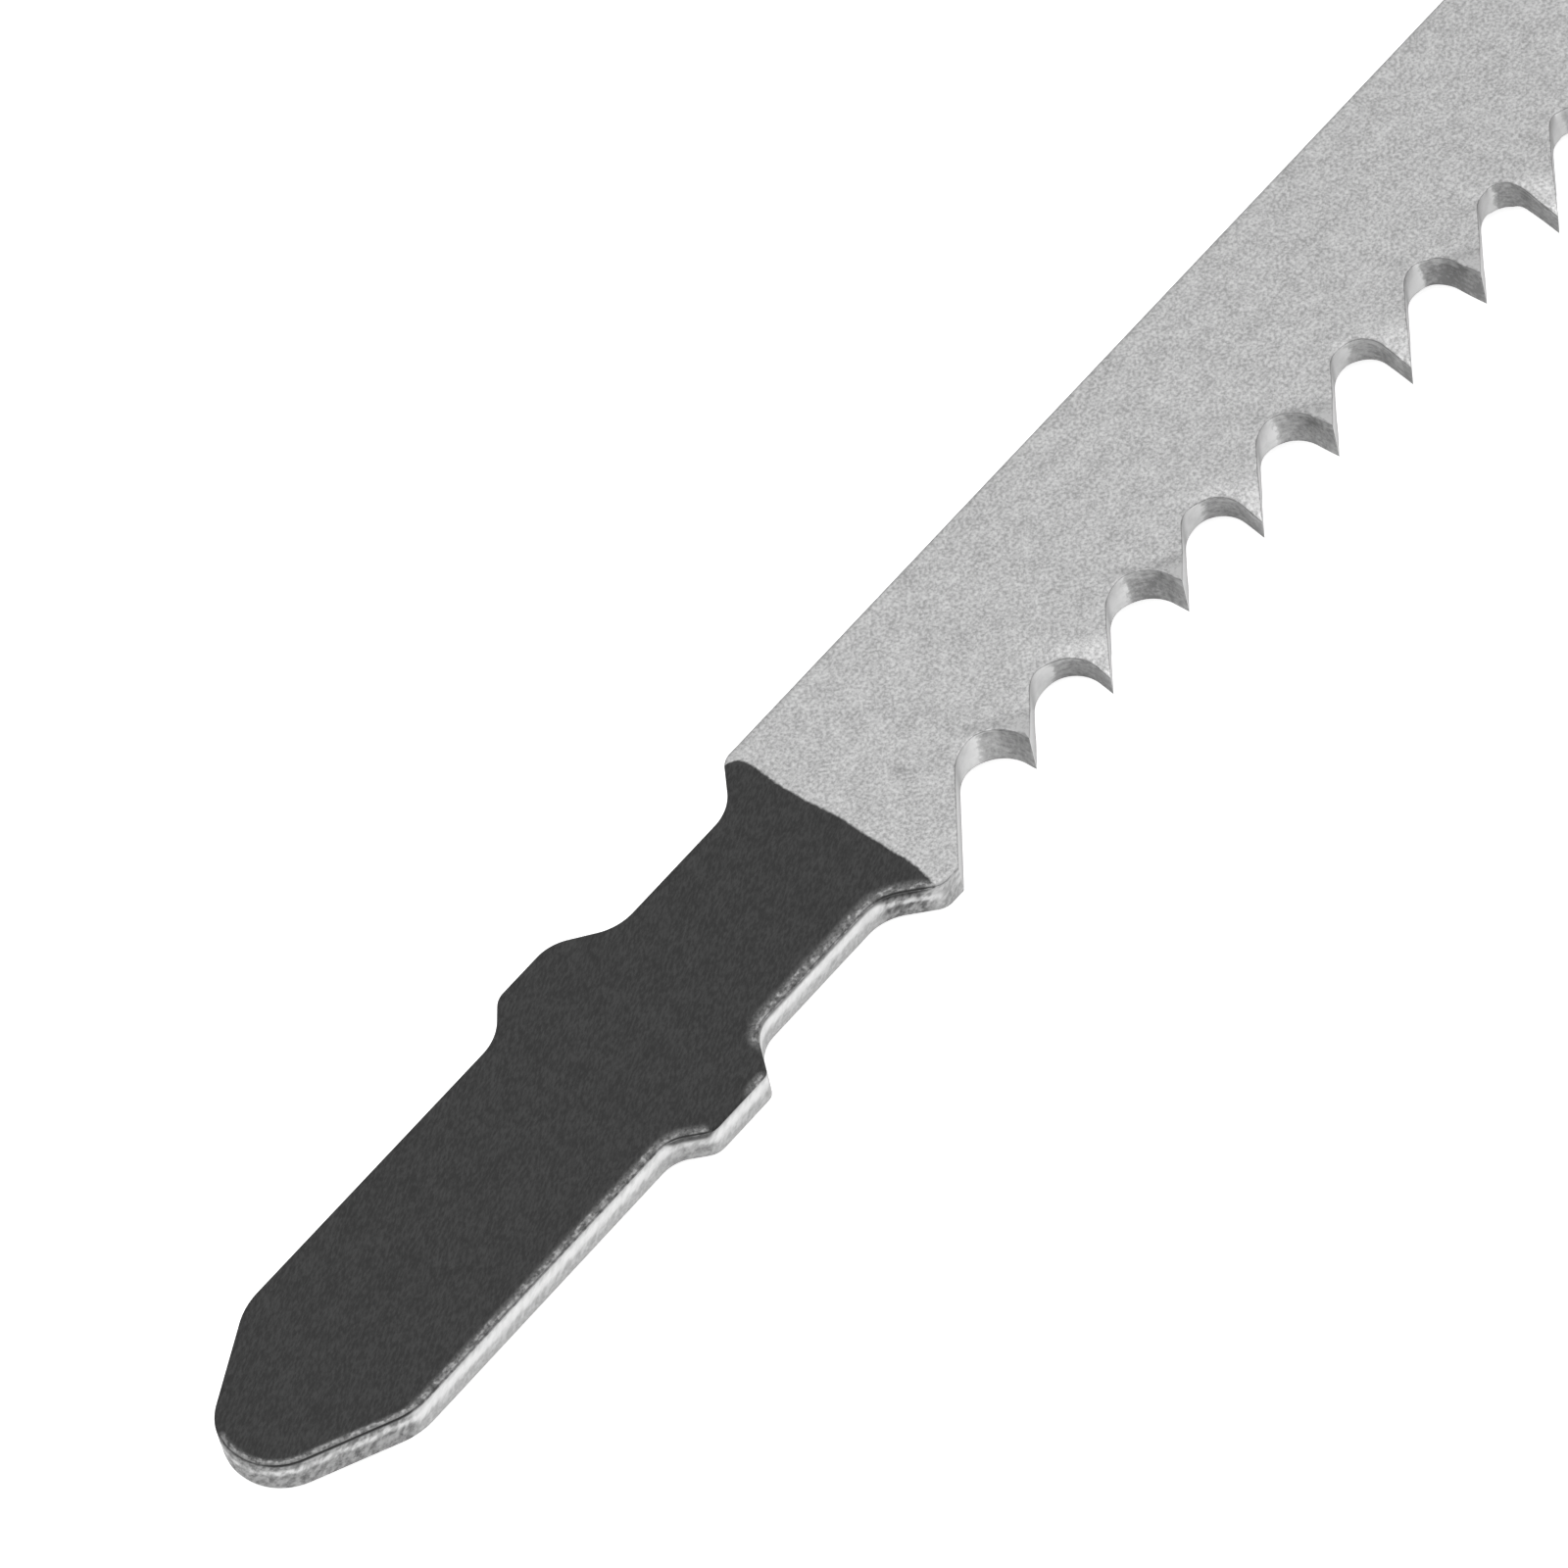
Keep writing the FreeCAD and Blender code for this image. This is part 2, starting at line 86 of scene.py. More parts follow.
class BladeSizes(bpy.types.PropertyGroup):
    total_length: length("Total length", "Shank end to nose", BLADE_HIGH[0] - BLADE_LOW[0])
    strip_width: length("Strip width", "Back edge to the tooth side", 7.16 * MM)
    end_width: length("End width", "Flat at the shank's free end", 2.0 * MM)
    taper_length: length("Taper length", "Bevels at the shank's free end", 3.4 * MM)
    tang_width: length("Tang width", "Shank between bevels and lugs", 5.58 * MM)
    lug_width: length("Lug width", "Over both lugs", 7.16 * MM)
    lug_position: length("Lug position", "Shank end to the lugs' crests", 13.8 * MM)
    lug_land: length("Lug land", "Length of the lugs' crests", 2.1 * MM)
    neck_width: length("Neck width", "Neck behind the lugs", 4.88 * MM)
    shoulder_position: length("Shoulder position", "Shank end to the full width", 22.72 * MM)
    shoulder_land: length("Shoulder land", "Full width before the first gullet", 0.65 * MM)
    ramp_angle: angle("Ramp angle", "Slope of lugs and shoulders", 45.0)
    lug_back_angle: angle("Lug back angle", "Slope of the lugs towards the neck", 51.5)
    end_radius: length("End radius", "Corners of the free end", 1.6 * MM)
    taper_radius: length("Taper radius", "Corners where the bevels end", 2.0 * MM)
    lug_crest_radius: length("Lug crest radius", "Outer corners of the lugs", 0.6 * MM)
    lug_back_radius: length("Lug back radius", "Outer corners of the lugs towards the neck", 0.3 * MM)
    lug_root_radius: length("Lug root radius", "Inner corners of the lugs", 1.0 * MM)
    far_lug_angle: angle("Far lug angle", "Slope of both ramps of the lug on the back edge's side", 40.0)
    far_lug_setback: length("Far lug setback", "How much later that lug's crest starts", 0.1 * MM)
    far_lug_round: length("Far lug round", "Outer corner of that lug towards the neck", 1.3 * MM)
    far_lug_root_radius: length("Far lug root radius", "Inner corners of that lug", 1.5 * MM)
    neck_radius: length("Neck radius", "Inner corners of the shoulders", 1.4 * MM)
    shoulder_radius: length("Shoulder radius", "Outer corners of the shoulders", 0.55 * MM)
    nose_radius: length("Nose radius", "Upper corners of the nose", 0.8 * MM)
    nose_low_radius: length("Nose low radius", "Lower corner of the nose", 0.2 * MM)
    plain_end_radius: length("Plain end radius", "Round behind the last tooth", 1.2 * MM)
    nose_slant: length("Nose slant", "Length of the slanted back at the nose", 6.2 * MM)
    nose_height: length("Nose height", "Top of the nose's flat end", 0.6 * MM)
    first_tip: length("First tip", "Shank end to the first tooth's tip", 27.25 * MM)
    pitch: length("Pitch", "Tip to tip", 3.0 * MM)
    tip_depth: length("Tip depth", "Centre line to the first tip", 2.79 * MM)
    tip_growth: length("Tip growth", "What each early tooth stands out more", 0.063 * MM)
    graded_teeth: bpy.props.IntProperty(
        name="Graded teeth", description="Teeth over which the depth grows", default=8)
    root_depth: length("Root depth", "Centre line to the gullets' bottoms", 1.33 * MM)
    plain_end: length("Plain end", "Length at the nose without tips", 3.5 * MM)
    clearance: angle("Clearance angle", "Slope of a tooth's long side", 41.0)
    undercut: angle("Undercut angle", "Lean of a tooth's short side", 5.0)
    tooth_set: length("Tooth set", "Sideways bend of a tip", 0.25 * MM)
    set_reach: length("Set reach", "Tip to where its bend begins", 1.2 * MM)
    fold_angle: angle("Fold angle", "Slope of the line a tooth bends along", 38.0)


class BladeFinish(bpy.types.PropertyGroup):
    strip_light: colour("Strip light", "Light grains of the blasted strip", 0.46)
    strip_dark: colour("Strip dark", "Dark grains of the blasted strip", 0.24)
    stain: colour("Stain", "Small stain behind the shoulder", 0.12)
    # Painted highlight on the face outside a tooth's bend.
    bent_flank_light: colour("Struck", "Flanks that the setting punch pressed smooth", 0.6)
    coating: colour("Coating", "Dark coating of the shank", 0.004)
    coating_streak: colour("Coating streak", "Fine streaks in the coating", 0.03)
    bare_clump: colour("Bare clump", "Steel where the rolled rim is rubbed bare", 0.36)
    burnished: colour("Burnished", "Bright stripe of a stamped edge", 0.83)
    sheared: colour("Sheared", "Upper part of a stamped edge", 0.69)
    sheared_low: colour("Sheared low", "Lower part of a stamped edge", 0.38)
    torn_light: colour("Torn light", "Ridges of the torn part of a stamped edge", 0.32)
    torn_dark: colour("Torn dark", "Hollows of the torn part of a stamped edge", 0.07)
    # Painted shade: darkens the groove between rim and wall, and the painted shadow below it on the wall.
    crease_shade: colour("Crease", "Groove between rim and stamped edge", 0.012)
    run_out: colour("Run-out", "Bright patch where the cutter ran out of a gullet", 0.74)
    long_side: colour("Long side", "Ground long side of a tooth", 0.58)
    long_side_low: colour("Long side low", "Its lower half", 0.44)
    gullet_light: colour("Gullet light", "Rough rake side of a gullet", 0.5)
    gullet_dark: colour("Gullet dark", "Scale left on the rake side", 0.22)


class StageSettings(bpy.types.PropertyGroup):
    target: bpy.props.FloatVectorProperty(
        name="Target", description="Point of the blade at the middle of the picture",
        default=(-27.04 * MM, 1.77 * MM, 1.25 * MM), size=3, subtype="TRANSLATION", unit="LENGTH", precision=5)
    distance: length("Distance", "Camera to target", 274.23 * MM)
    azimuth: angle("Azimuth", "Direction of the camera seen from the target", -128.64)
    elevation: angle("Elevation", "Height of the camera over the target", 51.67)
    roll: angle("Roll", "Turn of the camera about its line of sight", 14.6)
    lens: number("Lens", "Focal length for a 36 mm sensor", 252.26)
    floor_size: length("Floor size", "Side of the square floor", 3.0)
    floor_shade: colour("Floor shade", "Pale floor", 0.8)
    floor_glow: number("Floor glow", "White that the floor shows the camera besides what lamps give it", 0.8)
    floor_mirror: number(
        "Floor mirror", "White that the floor shows in the steel besides what lamps give it", 0.3)
    world_light: number("World light", "Soft light from all around", 0.55)
    key_power: number("Key power", "Lamp above the blade, in watts", 4.0)
    side_power: number("Side power", "Lamp on the tooth side, in watts", 1.7)


def sizes_of(context):
    return context.scene.jigsaw_blade_sizes


def finish_of(context):
    return context.scene.jigsaw_blade_finish


def stage_of(context):
    return context.scene.jigsaw_blade_stage


# Outline of the blade, counter-clockwise from above, in metres

STEP = 0.1 * MM
ARC_STEP = 0.06 * MM
LEAST_ARC_STEPS = 3
SAME_PLACE = 0.004 * MM
GREATEST_MITRE = 1 / 0.35
X, Y, OUT_X, OUT_Y, MITRE = range(5)

# How each stretch of the edge was made and has worn: ground, roll of its rim, breadth of the rim, wear,
# strength of the painted shade in the crease, torn share, lowest level in mm of the painted shadow below the
# crease, and strength and level in mm of the stripe.
LOOKS = {
    "end": (0.0, 1.0, 0.75, 0.9, 0.6, 0.85, 0.44, 0.6, 0.12),
    "bevel": (0.0, 1.0, 0.75, 0.95, 0.95, 0.8, 0.47, 0.85, 0.17),
    "tang": (0.0, 1.0, 0.95, 0.8, 0.45, 0.0, 0.43, 1.0, 0.15),
    "lug_entry": (0.0, 1.0, 1.05, 0.75, 0.8, 0.5, 0.26, 0.55, 0.13),
    "lug_crest": (0.0, 0.3, 0.4, 0.1, 0.0, 0.0, 0.43, 1.0, 0.14),
    "lug_crest_end": (0.0, 0.9, 0.8, 0.8, 0.0, 0.0, 0.43, 0.9, 0.14),
    "lug_back": (0.0, 0.6, 0.5, 0.25, 0.2, 0.3, 0.42, 0.3, 0.14),
    "neck": (0.0, 1.0, 1.3, 0.75, 0.45, 0.0, 0.35, 1.0, 0.14),
    "ramp": (0.0, 1.0, 1.3, 0.72, 0.9, 1.0, 0.32, 0.75, 0.07),
    "corner": (0.0, 0.8, 0.8, 0.8, 0.4, 0.2, 0.44, 0.8, 0.1),
    "land": (0.0, 0.5, 0.6, 1.0, 0.4, 0.5, 0.46, 0.1, 0.1),
    "plain": (0.0, 0.0, 0.5, 0.0, 0.0, 0.3, 0.44, 0.8, 0.14),
    "gullet": (1.0, 0.0, 0.5, 0.0, 0.0, 0.0, 0.44, 0.0, 0.14),
}
GROUND, ROLL, BREADTH, WEAR, CREASE_SHADE, TORN, SHADOW_FOOT, STRIPE, STRIPE_LEVEL = range(9)
LOOK_EASE = 5

# Shares of a stretch at which the edge's look changes: the crest's worn end, the neck's look on the lug's back
# ramp, and the shoulder's corner as a share of its radius.
CREST_END_SHARE = 0.35
NECK_LOOK_SHARE = 0.62
CORNER_SHARE = 0.4


def tooth_count(sizes):
    room = sizes.total_length - sizes.plain_end - sizes.first_tip
    return int(math.floor(room / sizes.pitch)) + 1


def tip(sizes, index):
    """Place of a tip. The shoulder's end stands before the first tooth."""
    if index == 0:
        return sizes.shoulder_position + sizes.shoulder_land, sizes.strip_width / 2
    steps = min(index, sizes.graded_teeth) - 1
    return sizes.first_tip + sizes.pitch * (index - 1), sizes.tip_depth + sizes.tip_growth * steps


def shank_side(sizes, far=False):
    """Corners of one side of the shank: place along, half width, radius, look of the stretch after it.

    The far side is the back edge's, where the lug is rounder."""
    slope = math.tan(sizes.ramp_angle)
    entry_slope = math.tan(sizes.far_lug_angle if far else sizes.ramp_angle)
    back_slope = math.tan(sizes.far_lug_angle if far else sizes.lug_back_angle)
    back_round = sizes.far_lug_round if far else sizes.lug_back_radius
    root_round = sizes.far_lug_root_radius if far else sizes.lug_root_radius
    lug_start = sizes.lug_position + (sizes.far_lug_setback if far else 0.0)
    strip = sizes.strip_width / 2
    tang = sizes.tang_width / 2
    lug = sizes.lug_width / 2
    neck = sizes.neck_width / 2
    lug_end = sizes.lug_position + sizes.lug_land
    lug_foot = lug_end + (lug - neck) / back_slope
    neck_look_half = lug + (neck - lug) * NECK_LOOK_SHARE
    corner = sizes.shoulder_radius * CORNER_SHARE
    return [
        (0.0, sizes.end_width / 2, sizes.end_radius, "bevel"),
        (sizes.taper_length, tang, sizes.taper_radius, "tang"),
        (lug_start - (lug - tang) / entry_slope, tang, root_round, "lug_entry"),
        (lug_start, lug, sizes.lug_crest_radius, "lug_crest"),
        (lug_end - sizes.lug_land * CREST_END_SHARE, lug, 0.0, "lug_crest_end"),
        (lug_end, lug, back_round, "lug_back"),
        (lug_end + (lug_foot - lug_end) * NECK_LOOK_SHARE, neck_look_half, 0.0, "neck"),
        (lug_foot, neck, root_round, "neck"),
        (sizes.shoulder_position - (strip - neck) / slope, neck, sizes.neck_radius, "ramp"),
        (sizes.shoulder_position - corner, strip - corner * slope, 0.0, "corner"),
        (sizes.shoulder_position, strip, sizes.shoulder_radius, "land"),
    ]


def gullet_corners(sizes, index):
    """The two corners of a gullet's floor. One radius in both makes its round bottom."""
    before_along, before_depth = tip(sizes, index - 1)
    along, depth = tip(sizes, index)
    root = sizes.root_depth
    first = before_along + (before_depth - root) / math.tan(sizes.clearance)
    second = along + (depth - root) * math.tan(sizes.undercut)
    turns = math.tan(sizes.clearance / 2) + math.tan((sizes.undercut + math.pi / 2) / 2)
    radius = (second - first) / turns
    return [(first, -root, radius), (second, -root, radius)]


def outline_corners(sizes):
    """Every corner of the outline: x, y, radius, look of the stretch after it."""
    side = shank_side(sizes)
    corners = [(along, -half, radius, look) for along, half, radius, look in side]
    land_along, land_depth = tip(sizes, 0)
    corners.append((land_along, -land_depth, 0.0, "gullet"))
    count = tooth_count(sizes)
    for index in range(1, count + 1):
        for x, y, radius in gullet_corners(sizes, index):
            corners.append((x, y, radius, "gullet"))
        along, depth = tip(sizes, index)
        corners.append((along, -depth, 0.0, "gullet"))
    along, depth = tip(sizes, count)
    foot = along + (depth - sizes.root_depth) / math.tan(sizes.clearance)
    nose = sizes.nose_radius
    corners.append((foot, -sizes.root_depth, sizes.plain_end_radius, "gullet"))
    corners.append((sizes.total_length, -sizes.root_depth, sizes.nose_low_radius, "plain"))
    corners.append((sizes.total_length, sizes.nose_height, nose, "plain"))
    corners.append((sizes.total_length - sizes.nose_slant, sizes.strip_width / 2, nose, "plain"))
    for along, half, radius, look in reversed(shank_side(sizes, far=True)):
        corners.append((along, half, radius, "plain"))
    return corners[:-1] + [corners[-1][:3] + ("end",)]


def sample_outline(sizes):
    """Points of the outline as rows of place, outward normal and mitre, and rows of their looks."""
    corners = outline_corners(sizes)
    count = len(corners)
    rows = []
    for index, (x, y, radius, look) in enumerate(corners):
        before = Vector(corners[index - 1][:2])
        here = Vector((x, y))
        after = Vector(corners[(index + 1) % count][:2])
        arriving = (here - before).normalized()
        leaving = (after - here).normalized()
        turn = math.atan2(arriving.cross(leaving), arriving.dot(leaving))
        if radius > 0.0:
            reach = radius * math.tan(abs(turn) / 2)
            start = here - arriving * reach
            outward = Vector((arriving.y, -arriving.x))
            centre = start - outward * math.copysign(radius, turn)
            steps = max(LEAST_ARC_STEPS, int(math.ceil(radius * abs(turn) / ARC_STEP)))
            for step in range(steps + 1):
                share = step / steps
                spun = Matrix.Rotation(turn * share, 2) @ outward
                point = centre + spun * math.copysign(radius, turn)
                point_look = LOOKS[corners[index - 1][3] if share < 0.5 else look]
                rows.append((point.x, point.y, spun.x, spun.y, 1.0) + point_look)
        else:
            mean = (arriving + leaving).normalized()
            outward = Vector((mean.y, -mean.x))
            mitre = min(1.0 / math.cos(turn / 2), GREATEST_MITRE)
            rows.append((here.x, here.y, outward.x, outward.y, mitre) + LOOKS[look])
    return fill_lines(rows)


def fill_lines(rows):
    """Add points along the straight stretches, drop points that coincide and ease the looks' changes."""
    rows = [row for index, row in enumerate(rows)
            if math.hypot(row[0] - rows[index - 1][0], row[1] - rows[index - 1][1]) > SAME_PLACE]
    filled = []
    count = len(rows)
    for index, row in enumerate(rows):
        filled.append(row)
        follower = rows[(index + 1) % count]
        gap = math.hypot(follower[0] - row[0], follower[1] - row[1])
        pieces = int(gap // STEP)
        if pieces < 2:
            continue
        run = Vector((follower[0] - row[0], follower[1] - row[1])).normalized()
        for piece in range(1, pieces):
            share = piece / pieces
            x = row[0] + (follower[0] - row[0]) * share
            y = row[1] + (follower[1] - row[1]) * share
            filled.append((x, y, run.y, -run.x, 1.0) + tuple(row[MITRE + 1:]))
    outline = np.array(filled)
    looks = outline[:, MITRE + 1:]
    for _ in range(LOOK_EASE):
        looks = (np.roll(looks, 1, axis=0) + looks * 2 + np.roll(looks, -1, axis=0)) / 4
    return outline[:, :MITRE + 1], looks


# Cross-section of the edge, from the printed face round to the other face.
# Each ring is an inset from the outline and a level above the sheet's middle, in millimetres.

ROLLED_RINGS = [
    (0.34, 0.5), (0.3, 0.5), (0.24, 0.495), (0.18, 0.484), (0.13, 0.467), (0.09, 0.448), (0.06, 0.425),
    (0.052, 0.41), (0.015, 0.397), (0.0, 0.36), (0.0, 0.2), (0.0, 0.03), (0.0, -0.14), (0.0, -0.3),
    (0.004, -0.43), (0.012, -0.485), (0.02, -0.5),
]
PLAIN_RINGS = [
    (0.17, 0.5), (0.14, 0.5), (0.1, 0.499), (0.07, 0.495), (0.04, 0.488), (0.022, 0.478), (0.01, 0.466),
    (0.004, 0.452), (0.0, 0.436), (0.0, 0.38), (0.0, 0.22), (0.0, 0.03), (0.0, -0.14), (0.0, -0.3),
    (0.004, -0.43), (0.012, -0.485), (0.02, -0.5),
]
GROUND_RINGS = [
    (0.15, 0.5), (0.09, 0.5), (0.035, 0.4995), (0.022, 0.498), (0.016, 0.495), (0.011, 0.491), (0.006, 0.485),
    (0.002, 0.478), (0.0, 0.47), (0.0, 0.38), (0.0, 0.22), (0.0, 0.05), (0.0, -0.12), (0.0, -0.28),
    (0.0, -0.4), (0.0, -0.48), (0.012, -0.5),
]
# Share of the painted shade in the crease on each ring, from the printed face on.
CREASE_SHADE_PROFILE = [0.0, 0.0, 0.0, 0.0, 0.0, 0.0, 0.7, 1.0, 0.4, 0.0]
RIM_BORDER = 0.3
CREASE_LIP = 0.06
LEAST_BREADTH = 0.1
WALL_RING = 8
TORN_RING = 12

# Beside a sharp corner the insets grow from the least one, by so much for each step away from it.
SHARP_MITRE = 1.05
CORNER_INSET = 0.04 * MM
INSET_GROWTH = 0.3

# Unevenness of the torn half: size of its lumps, and depth of the coarse and of the finer ones.
LUMP = 0.35 * MM
LUMP_DEPTH = 0.004 * MM
FINE_LUMP_DEPTH = 0.002 * MM
FINE_LUMPS = 3.1


def run_along(outline):
    """Way along the outline to each of its points."""
    gaps = np.hypot(*(np.roll(outline[:, :2], -1, axis=0) - outline[:, :2]).T)
    return np.concatenate([[0.0], np.cumsum(gaps)[:-1]])


def corner_room(outline):
    """Greatest inset of each point that keeps a ring clear of itself beside a sharp corner."""
    run = run_along(outline)
    sharp = run[outline[:, MITRE] > SHARP_MITRE]
    away = np.abs(run[:, None] - sharp[None, :]).min(axis=1)
    return CORNER_INSET + INSET_GROWTH * np.maximum(away - STEP, 0.0)


def edge_rings(outline, looks):
    """Every ring's points as one array, ring by ring, before the teeth are set, and their insets."""
    ground = looks[:, GROUND]
    room = corner_room(outline)
    roll = looks[:, ROLL]
    breadth = looks[:, BREADTH]
    rings = []
    insets = []
    for ring in range(len(ROLLED_RINGS)):
        rolled_inset, rolled_level = ROLLED_RINGS[ring]
        plain_inset, plain_level = PLAIN_RINGS[ring]
        ground_inset, ground_level = GROUND_RINGS[ring]
        if rolled_inset > CREASE_LIP:
            rolled_inset = CREASE_LIP + (rolled_inset - CREASE_LIP) * breadth
        stamped_inset = rolled_inset * roll + plain_inset * (1 - roll)
        stamped_level = rolled_level * roll + plain_level * (1 - roll)
        ground_inset = np.minimum(ground_inset * MM, room)
        inset = stamped_inset * (1 - ground) * MM + ground_inset * ground
        level = (stamped_level * (1 - ground) + ground_level * ground) * MM
        if TORN_RING <= ring < len(ROLLED_RINGS) - 1:
            inset = inset + torn_relief(outline, level) * (1 - ground)
        insets.append(inset)
        x = outline[:, X] - outline[:, OUT_X] * inset * outline[:, MITRE]
        y = outline[:, Y] - outline[:, OUT_Y] * inset * outline[:, MITRE]
        rings.append(np.stack([x, y, level], axis=1))
    return np.array(rings), np.array(insets)


def torn_relief(outline, level):
    """Unevenness of the torn half of a stamped edge, always inward."""
    relief = []
    for x, y, z in zip(outline[:, X], outline[:, Y], level):
        place = Vector((x, y, z)) / LUMP
        coarse = LUMP_DEPTH * (1.0 + noise.noise(place))
        relief.append(coarse + FINE_LUMP_DEPTH * (1.0 + noise.noise(place * FINE_LUMPS)))
    return np.array(relief)


# Set: the teeth bend smoothly to one side and the other

BEND_POWER = 1.35
BEND_LIMIT = 1.15
BEND_BEFORE = 1.2 * MM
BEND_EASE = 0.85 * MM
BEND_BEHIND = 1.6 * MM


def set_teeth(points, sizes):
    """Bend every tooth about its fold line, odd ones towards the printed face, even ones away.

    Also gives how far each point lies on a bent flank, which steers the painted light there: above zero on the
    face outside the bend, which gets a painted highlight, below zero on the face inside it, which is painted
    lighter against the shade of its tilt."""
    moved = points.copy()
    bent_flank_light = np.zeros(len(points))
    across = np.array([-math.sin(sizes.fold_angle), -math.cos(sizes.fold_angle)])
    reach = sizes.set_reach
    for index in range(1, tooth_count(sizes) + 1):
        along, depth = tip(sizes, index)
        lean = 1.0 if index % 2 == 1 else -1.0
        offset = points[:, :2] - np.array([along, -depth])
        beyond = np.clip((reach + offset @ across) / reach, 0.0, BEND_LIMIT)
        ease = np.clip((offset[:, 0] + BEND_BEFORE) / BEND_EASE, 0.0, 1.0)
        ease = ease * ease * (3 - 2 * ease)
        ease[offset[:, 0] > BEND_BEHIND] = 0.0
        near = (beyond > 0) & (ease > 0) & (points[:, 1] < 0)
        share = beyond[near]
        rise = lean * sizes.tooth_set * share ** BEND_POWER * ease[near]
        slope = lean * sizes.tooth_set * BEND_POWER * share ** (BEND_POWER - 1) / reach * ease[near]
        level = points[near, 2]
        tilt = np.arctan(slope)
        moved[near, 0] -= across[0] * np.sin(tilt) * level
        moved[near, 1] -= across[1] * np.sin(tilt) * level
        moved[near, 2] = level * np.cos(tilt) + rise
        bent_flank_light[near] = share * ease[near] * np.where(level * lean < 0, 1.0, -1.0)
    return moved, bent_flank_light


# The two faces

GRID_STEP = 0.14 * MM
GRID_ROW = GRID_STEP * 0.87
GRID_ABOVE_ROOTS = 1.0 * MM
GRID_CLEARANCE = 0.06 * MM
SLIVER = 1e-6 * MM * MM
FILL_INSIDE = 1
FILL_TOLERANCE = 1e-6


def inside(points, loop):
    """Which points lie within a closed loop."""
    result = np.zeros(len(points), dtype=bool)
    x, y = points[:, 0], points[:, 1]
    for (ax, ay), (bx, by) in zip(loop, np.roll(loop, -1, axis=0)):
        if ay == by:
            continue
        crosses = (ay > y) != (by > y)
        result ^= crosses & (x < (bx - ax) * (y - ay) / (by - ay) + ax)
    return result


def tooth_zone_points(sizes, loop):
    """A grid of points over the toothed part of a face, clear of its border."""
    columns = np.arange(sizes.shoulder_position, sizes.total_length, GRID_STEP)
    rows = np.arange(-sizes.strip_width / 2, -sizes.root_depth + GRID_ABOVE_ROOTS, GRID_ROW)
    grid = []
    for order, y in enumerate(rows):
        shift = GRID_STEP / 2 if order % 2 else 0.0
        grid.extend((x + shift, y) for x in columns)
    grid = np.array(grid)
    grid = grid[inside(grid, loop)]
    border = KDTree(len(loop))
    for index, (x, y) in enumerate(loop):
        border.insert((x, y, 0.0), index)
    border.balance()
    clear = [border.find((x, y, 0.0))[2] > GRID_CLEARANCE for x, y in grid]
    return grid[np.array(clear)]


def fill_face(loop, extra):
    """Triangles over a face: its border loop and extra points within it."""
    points = [Vector(point) for point in loop] + [Vector(point) for point in extra]
    border = [list(range(len(loop)))]
    scaled = [point / MM for point in points]
    _, _, faces, origins, _, holders = delaunay_2d_cdt(scaled, [], border, FILL_INSIDE, FILL_TOLERANCE, True)
    if not all(origins):
        raise RuntimeError("a face's border crosses itself")
    triangles = [[origins[index][0] for index in face] for face, holder in zip(faces, holders) if holder]
    flat = np.array([tuple(point) for point in points])
    return flat, turn_slivers(flat, triangles)


def doubled_area(flat, triangle):
    """Twice a triangle's area, below zero where its corners run clockwise."""
    (ax, ay), (bx, by), (cx, cy) = (flat[index] for index in triangle)
    return (bx - ax) * (cy - ay) - (by - ay) * (cx - ax)


def sides_of(triangle):
    """A triangle's sides, each as its start and end."""
    return zip(triangle, triangle[1:] + triangle[:1])


def turn_slivers(flat, triangles):
    """Give the middle point of each sliver along a straight border to the triangle behind it."""
    owners = {side: order for order, triangle in enumerate(triangles) for side in sides_of(triangle)}
    waiting = [order for order, triangle in enumerate(triangles) if doubled_area(flat, triangle) < SLIVER]
    for _ in range(len(flat)):
        if not waiting:
            return triangles
        order = waiting.pop(0)
        triangle = triangles[order]
        if doubled_area(flat, triangle) >= SLIVER:
            continue
        spans = [np.linalg.norm(flat[end] - flat[start]) for start, end in sides_of(triangle)]
        step = int(np.argmax(spans))
        first, last, middle = (triangle[(step + turn) % 3] for turn in range(3))
        behind = owners.get((last, first))
        if behind is None:
            raise RuntimeError("a sliver lies against a face's border")
        far = next(index for index in triangles[behind] if index not in (first, last))
        triangles[order], triangles[behind] = [first, far, middle], [far, last, middle]
        for changed in (order, behind):
            owners.update((side, changed) for side in sides_of(triangles[changed]))
            waiting.append(changed)
    raise RuntimeError("slivers remain along a face's border")


# The blade's mesh

FACE, SHEARED, TOOTHED = range(3)
FACE_INSET = 1.0
SHARP_ANGLE = math.radians(35.0)


def edge_measures(outline, looks, rings, insets):
    """What the materials read at each point of the edge."""
    ring_count = len(rings)
    profile = np.zeros(ring_count)
    profile[:len(CREASE_SHADE_PROFILE)] = CREASE_SHADE_PROFILE
    breadth = np.maximum(looks[:, BREADTH], LEAST_BREADTH) * (RIM_BORDER - CREASE_LIP)
    rolled = looks[:, ROLL] * (1 - looks[:, GROUND])
    rim = np.clip((CREASE_LIP + breadth - insets / MM) / breadth, 0.0, 1.0) * rolled
    rim[WALL_RING + 1:] = 0.0
    same_in_all_rings = {
        "run": run_along(outline) / MM,
        "turn": np.arctan2(-outline[:, OUT_X], -outline[:, OUT_Y]),
        "wear": looks[:, WEAR],
        "torn": looks[:, TORN],
        # Lowest level of the painted shadow below the crease
        "foot": looks[:, SHADOW_FOOT],
        "stripe": looks[:, STRIPE],
        "stripe_level": looks[:, STRIPE_LEVEL],
        "milled": looks[:, GROUND],
    }
    measures = {name: np.tile(values, ring_count) for name, values in same_in_all_rings.items()}
    measures["level"] = rings[:, :, 2].ravel() / MM
    measures["inset"] = insets.ravel() / MM
    measures["rim"] = rim.ravel()
    # Strength of the painted shade in the crease, ring by ring.
    measures["crease_shade"] = np.outer(profile, looks[:, CREASE_SHADE]).ravel()
    return measures


